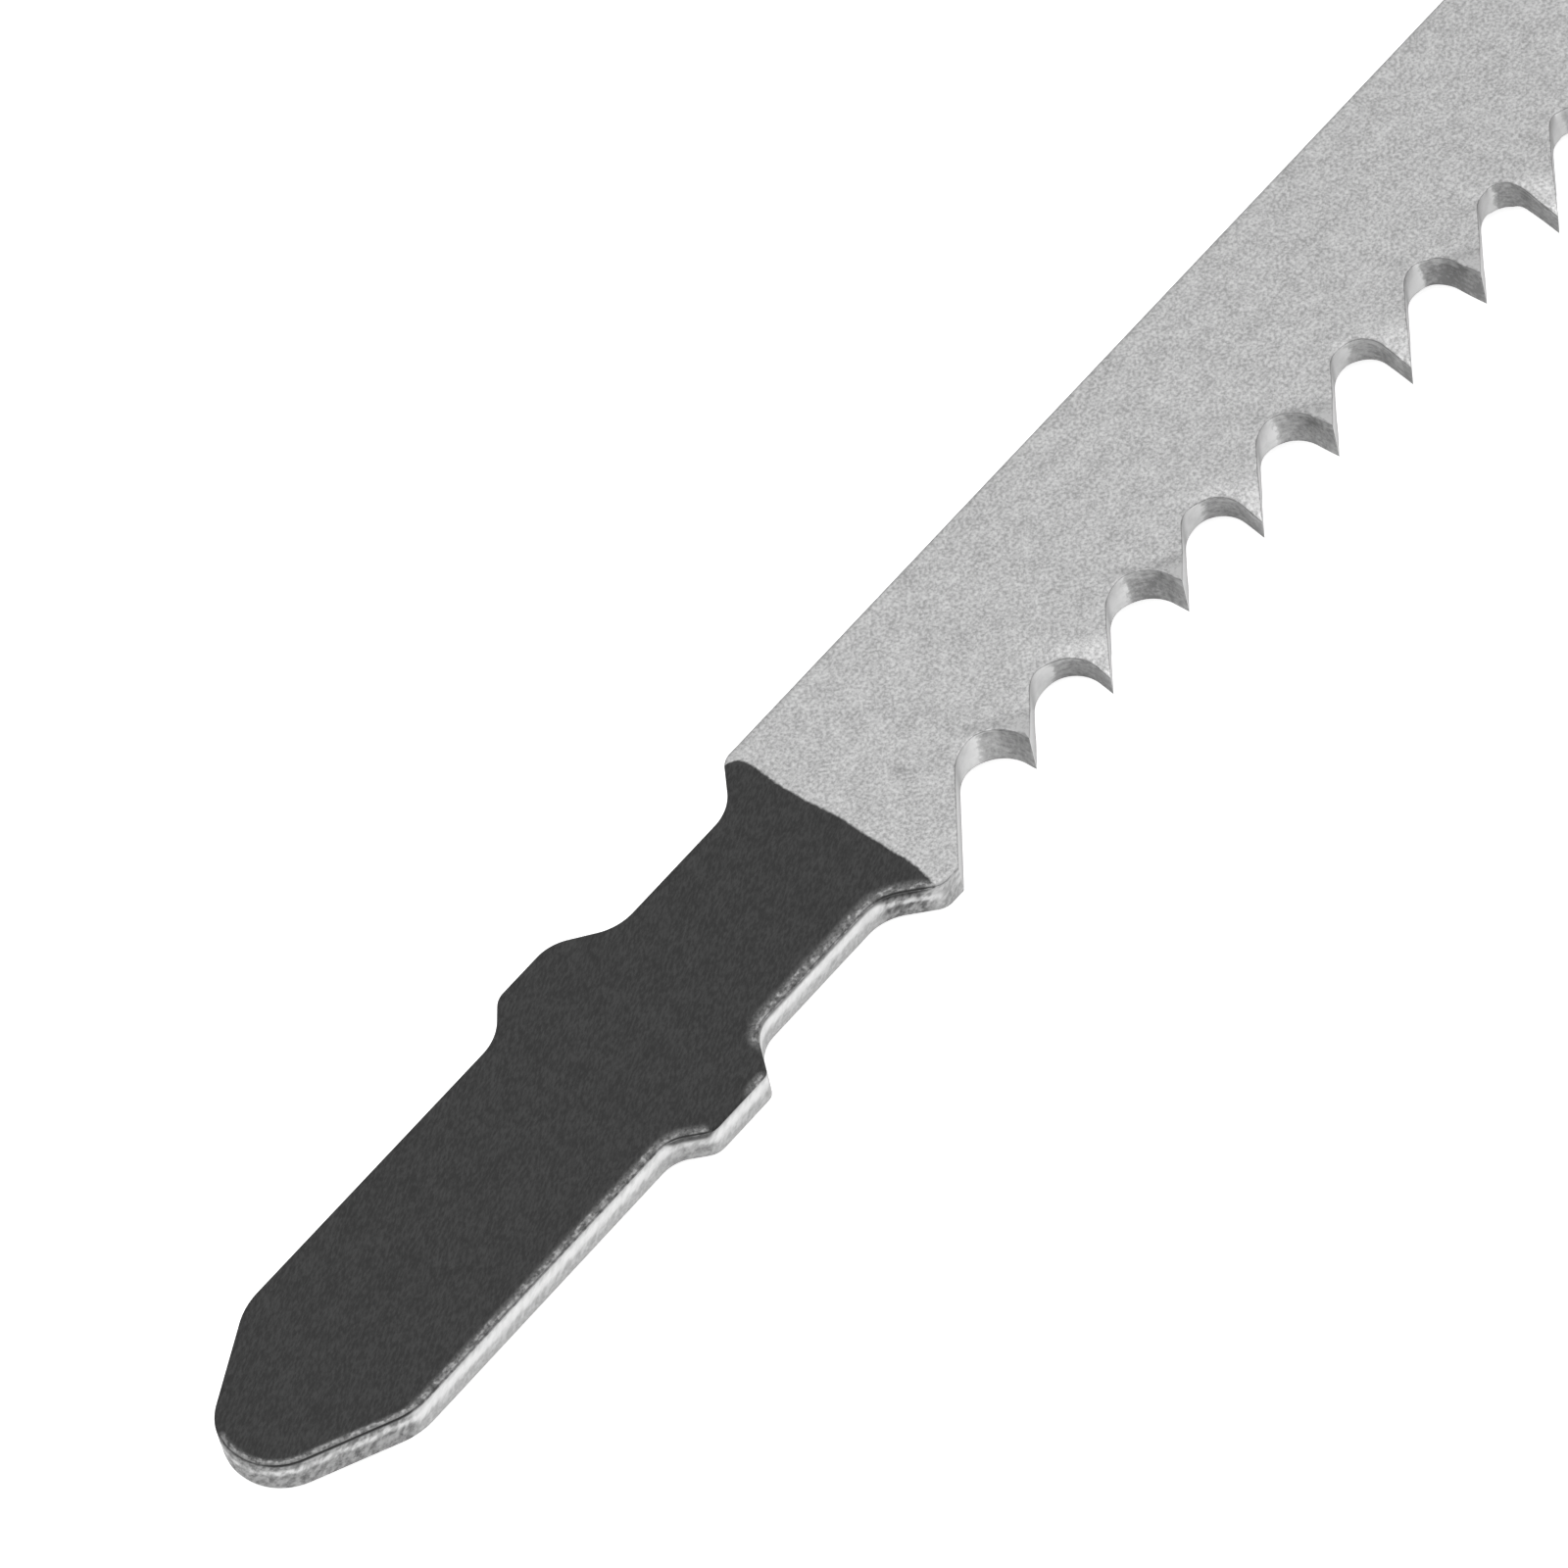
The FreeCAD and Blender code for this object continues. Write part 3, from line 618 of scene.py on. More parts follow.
def blade_geometry(sizes):
    """Points, faces with their materials, and the measures that the materials read."""
    outline, looks = sample_outline(sizes)
    rings, insets = edge_rings(outline, looks)
    ring_count, around = rings.shape[:2]
    measures = edge_measures(outline, looks, rings, insets)
    points = rings.reshape(-1, 3)
    ground = looks[:, GROUND] > 0.5
    faces = []
    materials = []
    for ring in range(ring_count - 1):
        for index in range(around):
            follower = (index + 1) % around
            faces.append((ring * around + follower, ring * around + index,
                          (ring + 1) * around + index, (ring + 1) * around + follower))
            if ring < WALL_RING:
                materials.append(FACE)
            else:
                materials.append(TOOTHED if ground[index] else SHEARED)
    for ring, front in ((0, True), (ring_count - 1, False)):
        loop = rings[ring][:, :2]
        flat, triangles = fill_face(loop, tooth_zone_points(sizes, loop))
        first = len(points)
        level = rings[ring][0, 2]
        fresh = np.column_stack([flat[around:], np.full(len(flat) - around, level)])
        points = np.vstack([points, fresh])
        for name in measures:
            value = {"level": level / MM, "inset": FACE_INSET}.get(name, 0.0)
            measures[name] = np.concatenate([measures[name], np.full(len(fresh), value)])
        for triangle in triangles:
            corners = [ring * around + index if index < around else first + index - around
                       for index in triangle]
            faces.append(tuple(corners if front else corners[::-1]))
            materials.append(FACE)
    points, measures["bent_flank_light"] = set_teeth(points, sizes)
    return points, faces, materials, measures


def build_blade(context):
    """The blade as one closed mesh in place of its solid."""
    points, faces, materials, measures = blade_geometry(sizes_of(context))
    points = points + np.array([SHANK_END, 0.0, MIDDLE_LEVEL])
    mesh = bpy.data.meshes.new("jigsaw_blade")
    mesh.from_pydata([tuple(point) for point in points], [], faces)
    for name, values in measures.items():
        layer = mesh.attributes.new(name, "FLOAT", "POINT")
        layer.data.foreach_set("value", values.astype(np.float32))
    for build in (face_material, sheared_material, toothed_material):
        mesh.materials.append(build(finish_of(context)))
    mesh.polygons.foreach_set("material_index", materials)
    mesh.shade_smooth()
    mesh.set_sharp_from_angle(angle=SHARP_ANGLE)
    mesh.validate()
    blade = bpy.data.objects.new("jigsaw_blade", mesh)
    context.scene.collection.objects.link(blade)
    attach(blade, "root")
    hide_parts(NODE)
    return blade


# Shader node helpers

def place_node(tree, kind, values=None, **settings):
    """A new shader node. Each value is a plain one, or another node's output to be linked."""
    node = tree.nodes.new(kind)
    for name, value in settings.items():
        setattr(node, name, value)
    for name, value in (values or {}).items():
        if isinstance(value, bpy.types.NodeSocket):
            tree.links.new(value, node.inputs[name])
        else:
            node.inputs[name].default_value = value
    return node


def math_node(tree, operation, first, second=0.0, clamp=False):
    node = place_node(tree, "ShaderNodeMath", {0: first, 1: second}, operation=operation, use_clamp=clamp)
    return node.outputs[0]


def add(tree, first, second, clamp=False):
    return math_node(tree, "ADD", first, second, clamp)


def subtract(tree, first, second):
    return math_node(tree, "SUBTRACT", first, second)


def multiply(tree, first, second):
    return math_node(tree, "MULTIPLY", first, second)


def inverse(tree, share):
    return subtract(tree, 1.0, share)


def centred(tree, noise_share):
    """Noise moved from about a half to about zero."""
    return subtract(tree, noise_share, 0.5)


def smooth_step(tree, value, low, high):
    node = place_node(tree, "ShaderNodeMapRange", {0: value, 1: low, 2: high, 3: 0.0, 4: 1.0},
                      interpolation_type="SMOOTHSTEP")
    return node.outputs[0]


def mix_colour(tree, share, first, second):
    return place_node(tree, "ShaderNodeMix", {0: share, 6: first, 7: second}, data_type="RGBA").outputs[2]


def noise_value(tree, vector, scale, detail=2.0, roughness=0.5):
    node = place_node(tree, "ShaderNodeTexNoise",
                      {"Vector": vector, "Scale": scale, "Detail": detail, "Roughness": roughness})
    return node.outputs["Fac"]


def measure(tree, name):
    """One of the blade's own measures at the shaded point."""
    return place_node(tree, "ShaderNodeAttribute", attribute_name=name).outputs["Fac"]


def surface_place(tree):
    return place_node(tree, "ShaderNodeTexCoord").outputs["Object"]


def rgba(shade):
    return (shade[0], shade[1], shade[2], 1.0)


def new_group(name, inputs, outputs):
    group = bpy.data.node_groups.new(name, "ShaderNodeTree")
    for socket_name, socket_type, default in inputs:
        socket = group.interface.new_socket(socket_name, in_out="INPUT", socket_type=socket_type)
        if default is not None:
            socket.default_value = default
    for socket_name, socket_type in outputs:
        group.interface.new_socket(socket_name, in_out="OUTPUT", socket_type=socket_type)
    entry = group.nodes.new("NodeGroupInput")
    leave = group.nodes.new("NodeGroupOutput")
    return group, entry.outputs, leave.inputs


def group_node(tree, group, values):
    return place_node(tree, "ShaderNodeGroup", values, node_tree=group).outputs


def new_material(name, metallic, roughness):
    material = bpy.data.materials.new(name)
    material.use_nodes = True
    shader = material.node_tree.nodes["Principled BSDF"]
    shader.inputs["Metallic"].default_value = metallic
    shader.inputs["Roughness"].default_value = roughness
    return material, material.node_tree, shader


def bump(tree, height, strength, distance):
    node = place_node(tree, "ShaderNodeBump", {"Strength": strength, "Distance": distance, "Height": height})
    return node.outputs["Normal"]


# Effects as node groups

def blasted_grain():
    """Fine speckle of a blasted or torn steel surface, as a mask and a height."""
    name = "Blasted grain"
    if name in bpy.data.node_groups:
        return bpy.data.node_groups[name]
    group, entry, leave = new_group(
        name,
        [("Vector", "NodeSocketVector", None), ("Grains per metre", "NodeSocketFloat", 7000.0),
         ("Contrast", "NodeSocketFloat", 1.0)],
        [("Mask", "NodeSocketFloat"), ("Height", "NodeSocketFloat")])
    fine = noise_value(group, entry["Vector"], entry["Grains per metre"], 3.0, 0.65)
    swing = multiply(group, centred(group, fine), entry["Contrast"])
    mask = add(group, multiply(group, swing, 3.0), 0.5, clamp=True)
    group.links.new(mask, leave["Mask"])
    group.links.new(fine, leave["Height"])
    return group


def grain_of(tree, grains, contrast=1.0):
    """The grain's mask and height, with so many grains to a metre."""
    values = {"Vector": surface_place(tree), "Grains per metre": grains, "Contrast": contrast}
    return group_node(tree, blasted_grain(), values)


def stretched_noise():
    """Noise in cells of their own length and width, for streaks and clumps along an edge."""
    name = "Stretched noise"
    if name in bpy.data.node_groups:
        return bpy.data.node_groups[name]
    group, entry, leave = new_group(
        name,
        [("Along", "NodeSocketFloat", 0.0), ("Down", "NodeSocketFloat", 0.0),
         ("Cells along", "NodeSocketFloat", 1.0), ("Cells down", "NodeSocketFloat", 1.0),
         ("Lean", "NodeSocketFloat", 0.0), ("Detail", "NodeSocketFloat", 2.0)],
        [("Value", "NodeSocketFloat")])
    leaning = add(group, entry["Along"], multiply(group, entry["Down"], entry["Lean"]))
    x = multiply(group, leaning, entry["Cells along"])
    y = multiply(group, entry["Down"], entry["Cells down"])
    place = place_node(group, "ShaderNodeCombineXYZ", {"X": x, "Y": y}).outputs[0]
    group.links.new(noise_value(group, place, 1.0, entry["Detail"], 0.55), leave["Value"])
    return group


def streaks(tree, measure_name, cells_along, cells_down, lean=0.0, detail=2.0):
    """Stretched noise over the edge, in cells per millimetre, with one of its measures as the way down."""
    values = {"Along": measure(tree, "run"), "Down": measure(tree, measure_name), "Cells along": cells_along,
              "Cells down": cells_down, "Lean": lean, "Detail": detail}
    return group_node(tree, stretched_noise(), values)["Value"]


# The coating's end across the blade: millimetres from its back edge, and how far it runs out there
COATING_EDGE = [
    (0.0, -0.3), (0.12, -0.03), (0.3, 0.13), (0.55, 0.165), (1.0, 0.13), (2.0, 0.06), (3.5, 0.11), (5.0, 0.05),
    (6.0, 0.02), (6.6, -0.11), (7.15, -0.28), (7.9, -0.55),
]
COATING_REACH = 8.0
COATING_SWING = 1.0
COATING_END = SHANK_END + 22.8 * MM
COATING_BACK = BLADE_HIGH[1] - 0.13 * MM
COATING_SOFTNESS = 0.045 * MM


def fit_coating_curve(curve):
    """Bend a curve node to the coating's end, with both axes from 0 to 1."""
    points = curve.mapping.curves[0].points
    heights = [(deep / COATING_REACH, 0.5 + offset / (2 * COATING_SWING)) for deep, offset in COATING_EDGE]
    points[0].location = heights[0]
    points[1].location = heights[-1]
    for place in heights[1:-1]:
        points.new(*place)
    curve.mapping.update()


def coating_mask():
    """Where the printed face still has its coating, with a slightly ragged end towards the teeth."""
    name = "Coating mask"
    if name in bpy.data.node_groups:
        return bpy.data.node_groups[name]
    group, entry, leave = new_group(
        name,
        [("Vector", "NodeSocketVector", None), ("Level", "NodeSocketFloat", 0.0),
         ("End", "NodeSocketFloat", 0.0), ("Back edge", "NodeSocketFloat", 0.0),
         ("Raggedness", "NodeSocketFloat", 0.08 * MM)],
        [("Mask", "NodeSocketFloat")])
    parts = place_node(group, "ShaderNodeSeparateXYZ", {"Vector": entry["Vector"]}).outputs
    depth = subtract(group, entry["Back edge"], parts["Y"])
    share = math_node(group, "DIVIDE", depth, COATING_REACH * MM)
    curve = place_node(group, "ShaderNodeFloatCurve", {"Value": share})
    fit_coating_curve(curve)
    offset = multiply(group, centred(group, curve.outputs[0]), 2 * COATING_SWING * MM)
    fine = noise_value(group, entry["Vector"], 9000.0, 2.0, 0.6)
    slow = noise_value(group, entry["Vector"], 1300.0)
    waver = subtract(group, add(group, fine, slow), 1.0)
    edge = add(group, add(group, entry["End"], offset), multiply(group, waver, entry["Raggedness"]))
    mask = smooth_step(group, subtract(group, parts["X"], edge), COATING_SOFTNESS, -COATING_SOFTNESS)
    front = math_node(group, "GREATER_THAN", entry["Level"], 0.0)
    group.links.new(multiply(group, mask, front), leave["Mask"])
    return group


def crease_shade_share(tree):
    """Share of the painted shade in the groove between rim and wall at a point."""
    return smooth_step(tree, measure(tree, "crease_shade"), 0.1, 0.75)


# Materials. Noise scales are in cells per metre, angles are those of the edge's outward side.

WHITE = (1.0, 1.0, 1.0, 1.0)
FACE_GRAINS = 10500.0
FACE_MOTTLES = 1700.0
WALL_GRAINS = 9000.0
GULLET_GRAINS = 8500.0
GULLET_MOTTLES = 2500.0
LOTS = 310.0
STREAK_LENGTH = 0.17 * MM
STREAK_WIDTH = 0.06 * MM
STREAK_TURN = math.radians(24.0)
STAIN_PLACE = (SHANK_END + 24.85 * MM, -0.42 * MM, MIDDLE_LEVEL + 0.5 * MM)
STAIN_RADIUS = 0.38 * MM
STAIN_SPOTS = 6000.0
LONG_SIDE_TURNS = (math.radians(-12.0), math.radians(-34.0))
RAKE_TURNS = (math.radians(17.0), math.radians(31.0))
RAKE_BORDER_TURNS = (math.radians(18.0), math.radians(32.0))
RAKE_LIGHT_TURNS = (math.radians(75.0), math.radians(20.0))


def blasted_steel(tree, finish, place, grain, mottle):
    """Speckled steel with the small stain, painted lighter on the face inside a tooth's bend against the shade
    of its tilt, and with a painted highlight in ragged patches on the face outside the bend.
    """
    flank = measure(tree, "bent_flank_light")
    grains = add(tree, multiply(tree, grain["Mask"], 0.85), multiply(tree, mottle, 0.65))
    # Painted light on the face inside a tooth's bend, against the shade of its tilt.
    grains = add(tree, grains, multiply(tree, smooth_step(tree, flank, 0.0, -0.9), 0.75))
    grains = add(tree, grains, 0.06, clamp=True)
    steel = mix_colour(tree, grains, rgba(finish.strip_dark), rgba(finish.strip_light))
    apart = place_node(tree, "ShaderNodeVectorMath", {0: place, 1: STAIN_PLACE}, operation="DISTANCE")
    spots = smooth_step(tree, noise_value(tree, place, STAIN_SPOTS, 1.0), 0.42, 0.55)
    stain = multiply(tree, smooth_step(tree, apart.outputs["Value"], STAIN_RADIUS, 0.0), spots)
    steel = mix_colour(tree, multiply(tree, stain, 0.5), steel, rgba(finish.stain))
    # Painted highlight in ragged patches on the face outside a tooth's bend.
    ragged = add(tree, flank, multiply(tree, centred(tree, grain["Height"]), 0.7))
    bent_flank_light = smooth_step(tree, ragged, 0.74, 0.86)
    return mix_colour(tree, multiply(tree, bent_flank_light, 0.6), steel, rgba(finish.bent_flank_light))


def rake_border(tree, grain):
    """Ragged line along the face where a gullet's rake side begins."""
    scratch = centred(tree, streaks(tree, "inset", 3.0, 9.0, 0.3, 3.0))
    inset = add(tree, measure(tree, "inset"), multiply(tree, scratch, 0.35))
    inset = add(tree, inset, multiply(tree, centred(tree, grain["Height"]), 0.15))
    near = multiply(tree, smooth_step(tree, inset, 0.1, -0.02), measure(tree, "milled"))
    return multiply(tree, near, smooth_step(tree, measure(tree, "turn"), *RAKE_BORDER_TURNS))


def coating_shade(tree, finish, place, mottle):
    """The coating's colour, with fine slanting streaks."""
    turned = place_node(tree, "ShaderNodeMapping", {
        "Vector": place, "Rotation": (0.0, 0.0, STREAK_TURN),
        "Scale": (STREAK_LENGTH, STREAK_WIDTH, STREAK_LENGTH)}, vector_type="TEXTURE")
    streak = noise_value(tree, turned.outputs[0], 1.0, 2.0, 0.6)
    streak = add(tree, streak, multiply(tree, mottle, 0.3))
    return mix_colour(tree, smooth_step(tree, streak, 0.3, 0.75), rgba(finish.coating),
                      rgba(finish.coating_streak))


def rubbed_rim(tree, grain):
    """Share of bare steel on the rolled rim: a thin rub all along it, and clumps where it wore through."""
    rim = measure(tree, "rim")
    wear = measure(tree, "wear")
    clumps = streaks(tree, "inset", 4.0, 8.0, 0.0, 3.0)
    clumps = add(tree, clumps, multiply(tree, subtract(tree, rim, 0.75), 0.3))
    clumps = add(tree, clumps, multiply(tree, subtract(tree, wear, 0.75), 0.6))
    clumps = multiply(tree, smooth_step(tree, clumps, 0.4, 0.62), smooth_step(tree, rim, 0.1, 0.6))
    clumps = multiply(tree, clumps, add(tree, multiply(tree, grain["Mask"], 0.5), 0.4))
    rub = add(tree, multiply(tree, grain["Mask"], 0.3), 0.12)
    rub = multiply(tree, smooth_step(tree, rim, 0.0, 0.7), rub)
    bare = math_node(tree, "MAXIMUM", rub, clumps)
    return multiply(tree, bare, smooth_step(tree, wear, 0.2, 0.7))


def face_material(finish):
    """Both faces and the rolled rim: blasted steel with painted light on the teeth's bent flanks, dark coating
    on the shank, its rubbed rim, and painted shade in the crease.
    """
    material, tree, shader = new_material("blade_face", 1.0, 0.5)
    shader.inputs["Specular IOR Level"].default_value = 0.3
    place = surface_place(tree)
    grain = grain_of(tree, FACE_GRAINS, 1.1)
    mottle = centred(tree, noise_value(tree, place, FACE_MOTTLES))
    steel = blasted_steel(tree, finish, place, grain, mottle)
    border = multiply(tree, rake_border(tree, grain), 0.8)
    steel = mix_colour(tree, border, steel, rgba(finish.gullet_dark))
    coated = group_node(tree, coating_mask(), {
        "Vector": place, "Level": measure(tree, "level"),
        "End": COATING_END, "Back edge": COATING_BACK})["Mask"]
    shade = mix_colour(tree, coated, steel, coating_shade(tree, finish, place, mottle))
    bare = rubbed_rim(tree, grain)
    shade = mix_colour(tree, bare, shade, rgba(finish.bare_clump))
    # Painted shade in the groove between rim and wall, where the steel is also made less metallic.
    crease_shade = crease_shade_share(tree)
    shade = mix_colour(tree, crease_shade, shade, rgba(finish.crease_shade))
    tree.links.new(shade, shader.inputs["Base Color"])
    metal = math_node(tree, "MAXIMUM", inverse(tree, coated), bare)
    tree.links.new(multiply(tree, metal, inverse(tree, crease_shade)), shader.inputs["Metallic"])
    tree.links.new(bump(tree, grain["Height"], 0.2, 0.01 * MM), shader.inputs["Normal"])
    return material


def wall_steel(tree, finish, grain, ridges):
    """A wall's own steel: plain and darker towards its foot, or torn into ridges and hollows."""
    torn = measure(tree, "torn")
    low = smooth_step(tree, measure(tree, "level"), 0.2, -0.5)
    low_share = add(tree, multiply(tree, low, 0.85), multiply(tree, inverse(tree, ridges), 0.6), clamp=True)
    plain = mix_colour(tree, low_share, rgba(finish.sheared), rgba(finish.sheared_low))
    rough = mix_colour(tree, ridges, rgba(finish.torn_dark), rgba(finish.torn_light))
    speckle = multiply(tree, grain["Mask"], add(tree, multiply(tree, low, 0.3), 0.12))
    speckle = multiply(tree, speckle, inverse(tree, multiply(tree, torn, 0.3)))
    return mix_colour(tree, speckle, mix_colour(tree, torn, plain, rough), rgba(finish.burnished))


def bright_stripe(tree, grain, ridges):
    """The wavy stripe that the punch burnished, broken by specks and hollows."""
    torn = measure(tree, "torn")
    wave = centred(tree, streaks(tree, "level", 2.2, 0.6, 0.0, 4.0))
    above = subtract(tree, measure(tree, "level"), measure(tree, "stripe_level"))
    away = math_node(tree, "ABSOLUTE", subtract(tree, above, multiply(tree, wave, 0.35)))
    away = multiply(tree, away, add(tree, multiply(tree, torn, 0.8), 1.0))
    stripe = multiply(tree, smooth_step(tree, away, 0.26, 0.04), measure(tree, "stripe"))
    hollow = multiply(tree, inverse(tree, ridges), add(tree, multiply(tree, torn, 0.4), 0.15))
    specks = inverse(tree, multiply(tree, grain["Mask"], 0.22))
    return multiply(tree, stripe, multiply(tree, specks, inverse(tree, hollow)))


def sheared_material(finish):
    """Stamped edge: a bright wavy stripe on a plain band, or on a torn surface with slanting ridges, with a
    painted shadow below the crease and painted shade in it.
    """
    material, tree, shader = new_material("sheared_edge", 1.0, 0.42)
    grain = grain_of(tree, WALL_GRAINS)
    ridge = streaks(tree, "level", 5.5, 3.5, -0.5, 4.0)
    ridges = smooth_step(tree, ridge, 0.38, 0.62)
    shade = wall_steel(tree, finish, grain, ridges)
    shade = mix_colour(tree, bright_stripe(tree, grain, ridges), shade, rgba(finish.burnished))
    # Painted shadow on the wall from the crease down to the foot level, then painted shade in the crease
    # itself.
    above_shadow_foot = subtract(tree, measure(tree, "level"), measure(tree, "foot"))
    above_shadow_foot = add(tree, above_shadow_foot, multiply(tree, centred(tree, ridge), 0.15))
    dark = multiply(tree, smooth_step(tree, above_shadow_foot, -0.09, 0.07), 0.78)
    shade = mix_colour(tree, dark, shade, rgba(finish.crease_shade))
    shade = mix_colour(tree, crease_shade_share(tree), shade, rgba(finish.crease_shade))
    tree.links.new(shade, shader.inputs["Base Color"])
    relief = add(tree, grain["Height"], multiply(tree, ridge, measure(tree, "torn")))
    tree.links.new(bump(tree, relief, 0.3, 0.02 * MM), shader.inputs["Normal"])
    return material


def long_flank(tree, finish, grain, slow):
    """The bright run-out of a gullet, and beyond it the ground long side of a tooth, with a painted shade line
    along its top edge.
    """
    level = measure(tree, "level")
    low = smooth_step(tree, level, 0.4, -0.4)
    ground = mix_colour(tree, low, rgba(finish.long_side), rgba(finish.long_side_low))
    # Painted shade line along the long side's top edge.
    top_edge_shade = multiply(tree, smooth_step(tree, level, 0.38, 0.46), 0.7)
    ground = mix_colour(tree, top_edge_shade, ground, rgba(finish.gullet_dark))
    spots = add(tree, multiply(tree, slow, 1.5), multiply(tree, grain["Mask"], 0.35), clamp=True)
    run_out = mix_colour(tree, spots, rgba(finish.run_out), rgba(finish.long_side))
    return mix_colour(tree, smooth_step(tree, measure(tree, "turn"), *LONG_SIDE_TURNS), run_out, ground)


def rake_side(tree, finish, grain, slow):
    """The rough dark side of a gullet, of another tone in each, and lighter towards the printed face."""
    scratch = centred(tree, streaks(tree, "level", 3.0, 10.0, 0.3, 3.0))
    lot = centred(tree, noise_value(tree, surface_place(tree), LOTS, 0.0))
    light = smooth_step(tree, measure(tree, "turn"), *RAKE_LIGHT_TURNS)
    tone = add(tree, multiply(tree, light, 0.3), multiply(tree, slow, 0.8))
    tone = add(tree, tone, add(tree, scratch, multiply(tree, lot, 1.2)))
    tone = add(tree, tone, multiply(tree, grain["Mask"], 0.55), clamp=True)
    shade = mix_colour(tree, tone, rgba(finish.gullet_dark), rgba(finish.gullet_light))
    front = add(tree, measure(tree, "level"), multiply(tree, add(tree, scratch, slow), 0.6))
    front = multiply(tree, smooth_step(tree, front, 0.3, 0.5), 0.4)
    return mix_colour(tree, front, shade, rgba(finish.long_side))


def toothed_material(finish):
    """Milled gullets: a bright run-out, then a rough dark rake side."""
    material, tree, shader = new_material("toothed_edge", 1.0, 0.45)
    grain = grain_of(tree, GULLET_GRAINS)
    slow = centred(tree, noise_value(tree, surface_place(tree), GULLET_MOTTLES))
    slant = add(tree, measure(tree, "turn"), multiply(tree, measure(tree, "level"), 0.12))
    ragged = add(tree, multiply(tree, centred(tree, grain["Height"]), 0.5), multiply(tree, slow, 0.5))
    rake = smooth_step(tree, add(tree, slant, ragged), *RAKE_TURNS)
    shade = mix_colour(tree, rake, long_flank(tree, finish, grain, slow), rake_side(tree, finish, grain, slow))
    tree.links.new(shade, shader.inputs["Base Color"])
    relief = multiply(tree, grain["Height"], rake)
    tree.links.new(bump(tree, relief, 0.5, 0.02 * MM), shader.inputs["Normal"])
    return material


def floor_material(stage):
    """Pale floor that shows white to the camera and in the steel, and keeps the shadow."""
    material, tree, shader = new_material("pale_floor", 0.0, 0.9)
    shader.inputs["Base Color"].default_value = rgba(stage.floor_shade)
    shader.inputs["Specular IOR Level"].default_value = 0.0
    shader.inputs["Emission Color"].default_value = WHITE
    rays = place_node(tree, "ShaderNodeLightPath").outputs
    mirror = math_node(tree, "MAXIMUM", rays["Is Glossy Ray"], rays["Is Transmission Ray"])
    glow = add(tree, multiply(tree, rays["Is Camera Ray"], stage.floor_glow),
               multiply(tree, mirror, stage.floor_mirror))
    tree.links.new(glow, shader.inputs["Emission Strength"])
    return material


# Stage

KEY_PLACE = (0.05, 0.1, 0.9)
KEY_SIZE = 0.9
SIDE_PLACE = (0.5, -0.7, 0.5)
SIDE_SIZE = 0.6
SENSOR = 36.0


def build_floor(context):
    stage = stage_of(context)
    half = stage.floor_size / 2
    mesh = bpy.data.meshes.new("floor")
    mesh.from_pydata([(-half, -half, 0.0), (half, -half, 0.0), (half, half, 0.0), (-half, half, 0.0)],
                     [], [(0, 1, 2, 3)])
    mesh.materials.append(floor_material(stage))
    floor = bpy.data.objects.new("floor", mesh)
    context.scene.collection.objects.link(floor)


def build_world(context):
    """Soft light from all around, which is white wherever the camera or the steel sees it."""
    stage = stage_of(context)
    world = bpy.data.worlds.new("studio")
    world.use_nodes = True
    tree = world.node_tree
    rays = place_node(tree, "ShaderNodeLightPath").outputs
    seen = math_node(tree, "MAXIMUM", rays["Is Camera Ray"], rays["Is Glossy Ray"])
    seen = math_node(tree, "MAXIMUM", seen, rays["Is Transmission Ray"])
    strength = add(tree, multiply(tree, seen, 1.0 - stage.world_light), stage.world_light)
    background = tree.nodes["Background"]
    background.inputs["Color"].default_value = WHITE
    tree.links.new(strength, background.inputs["Strength"])
    context.scene.world = world


def add_lamp(context, name, place, size, power):
    """A square lamp that faces the blade."""
    data = bpy.data.lights.new(name, "AREA")
    data.shape = "SQUARE"
    data.size = size
    data.energy = power
    lamp = bpy.data.objects.new(name, data)
    lamp.location = place
    lamp.rotation_euler = (-Vector(place)).to_track_quat("-Z", "Y").to_euler()
    context.scene.collection.objects.link(lamp)


def build_camera(context):
    """A camera at its angles and distance from the target, turned about its line of sight."""
    stage = stage_of(context)
    flat = math.cos(stage.elevation)
    back = Vector((flat * math.cos(stage.azimuth), flat * math.sin(stage.azimuth), math.sin(stage.elevation)))
    right = Vector((0.0, 0.0, 1.0)).cross(back).normalized()
    up = back.cross(right)
    spin = Matrix.Rotation(-stage.roll, 3, back)
    data = bpy.data.cameras.new("camera")
    data.lens = stage.lens
    data.sensor_width = SENSOR
    data.clip_start = 10.0 * MM
    camera = bpy.data.objects.new("camera", data)
    turn = Matrix((spin @ right, spin @ up, back)).transposed().to_4x4()
    camera.matrix_world = Matrix.Translation(Vector(stage.target) + back * stage.distance) @ turn
    context.scene.collection.objects.link(camera)
    context.scene.camera = camera


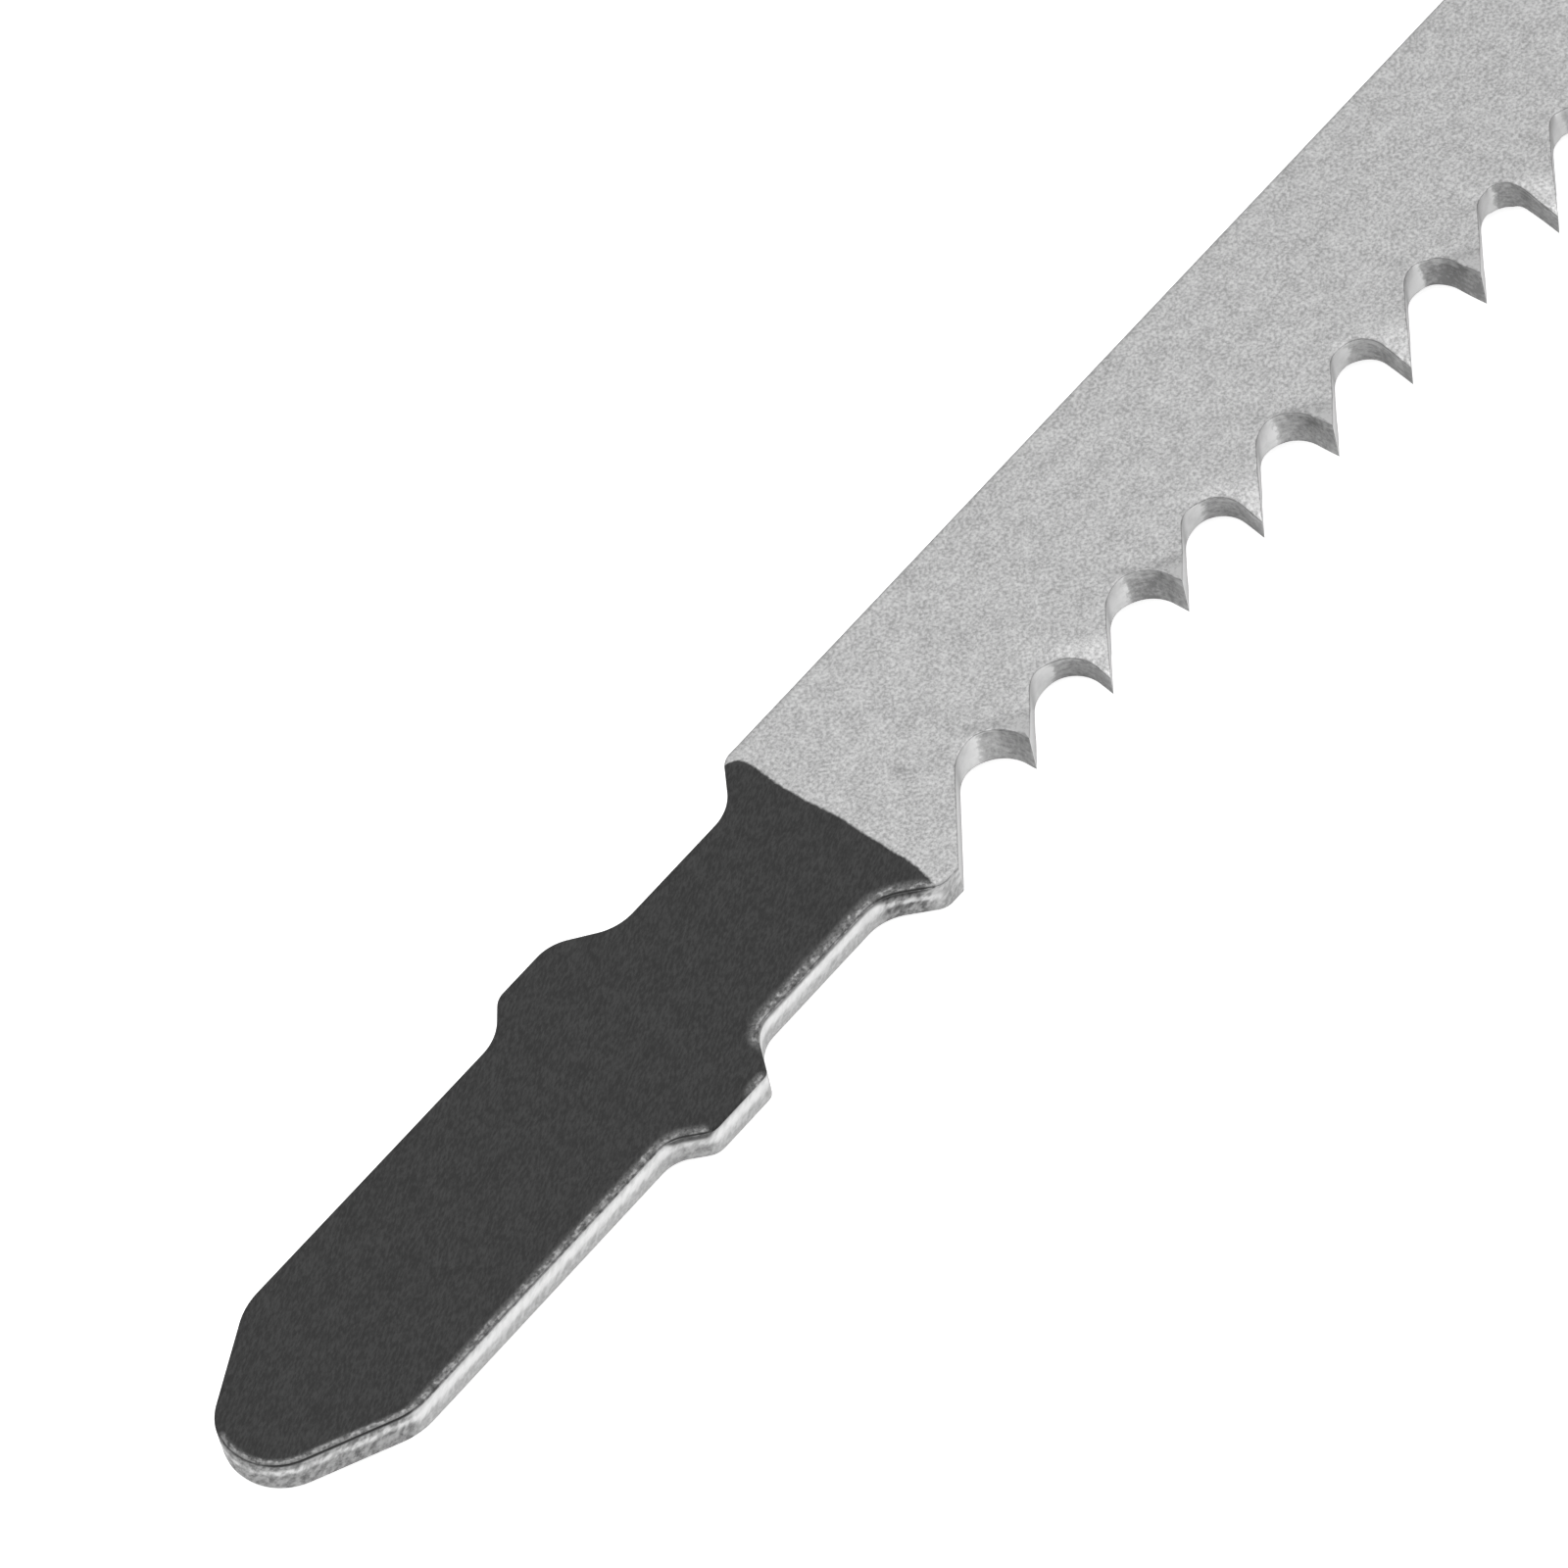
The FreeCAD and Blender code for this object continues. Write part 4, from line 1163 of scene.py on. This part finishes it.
def build_stage(context):
    stage = stage_of(context)
    build_floor(context)
    build_world(context)
    add_lamp(context, "key_lamp", KEY_PLACE, KEY_SIZE, stage.key_power)
    add_lamp(context, "side_lamp", SIDE_PLACE, SIDE_SIZE, stage.side_power)
    build_camera(context)
    context.scene.view_settings.view_transform = "Standard"


# Operators and panel

class JIGSAW_OT_blade(bpy.types.Operator):
    """Build the stamped and toothed blade over its solid"""
    bl_idname = "jigsaw.blade"
    bl_label = "Build blade"

    def execute(self, context):
        build_blade(context)
        return {"FINISHED"}


class JIGSAW_OT_stage(bpy.types.Operator):
    """Build the pale floor, the soft light and the camera"""
    bl_idname = "jigsaw.stage"
    bl_label = "Build stage"

    def execute(self, context):
        build_stage(context)
        return {"FINISHED"}


class JIGSAW_PT_sidebar(bpy.types.Panel):
    """Lists the blade's and the stage's operators"""
    bl_idname = "JIGSAW_PT_sidebar"
    bl_label = "Jigsaw Blade"
    bl_space_type = "VIEW_3D"
    bl_region_type = "UI"
    bl_category = "Jigsaw Blade"

    def draw(self, context):
        self.layout.operator(JIGSAW_OT_blade.bl_idname)
        self.layout.operator(JIGSAW_OT_stage.bl_idname)


CLASSES = (BladeSizes, BladeFinish, StageSettings, JIGSAW_OT_blade, JIGSAW_OT_stage, JIGSAW_PT_sidebar)


def register():
    for cls in CLASSES:
        bpy.utils.register_class(cls)
    bpy.types.Scene.jigsaw_blade_sizes = bpy.props.PointerProperty(type=BladeSizes)
    bpy.types.Scene.jigsaw_blade_finish = bpy.props.PointerProperty(type=BladeFinish)
    bpy.types.Scene.jigsaw_blade_stage = bpy.props.PointerProperty(type=StageSettings)


def unregister():
    del bpy.types.Scene.jigsaw_blade_stage
    del bpy.types.Scene.jigsaw_blade_finish
    del bpy.types.Scene.jigsaw_blade_sizes
    for cls in reversed(CLASSES):
        bpy.utils.unregister_class(cls)


def main():
    register()
    bpy.ops.jigsaw.stage()
    bpy.ops.jigsaw.blade()
    bpy.context.view_layer.update()


if __name__ == "__main__":
    main()
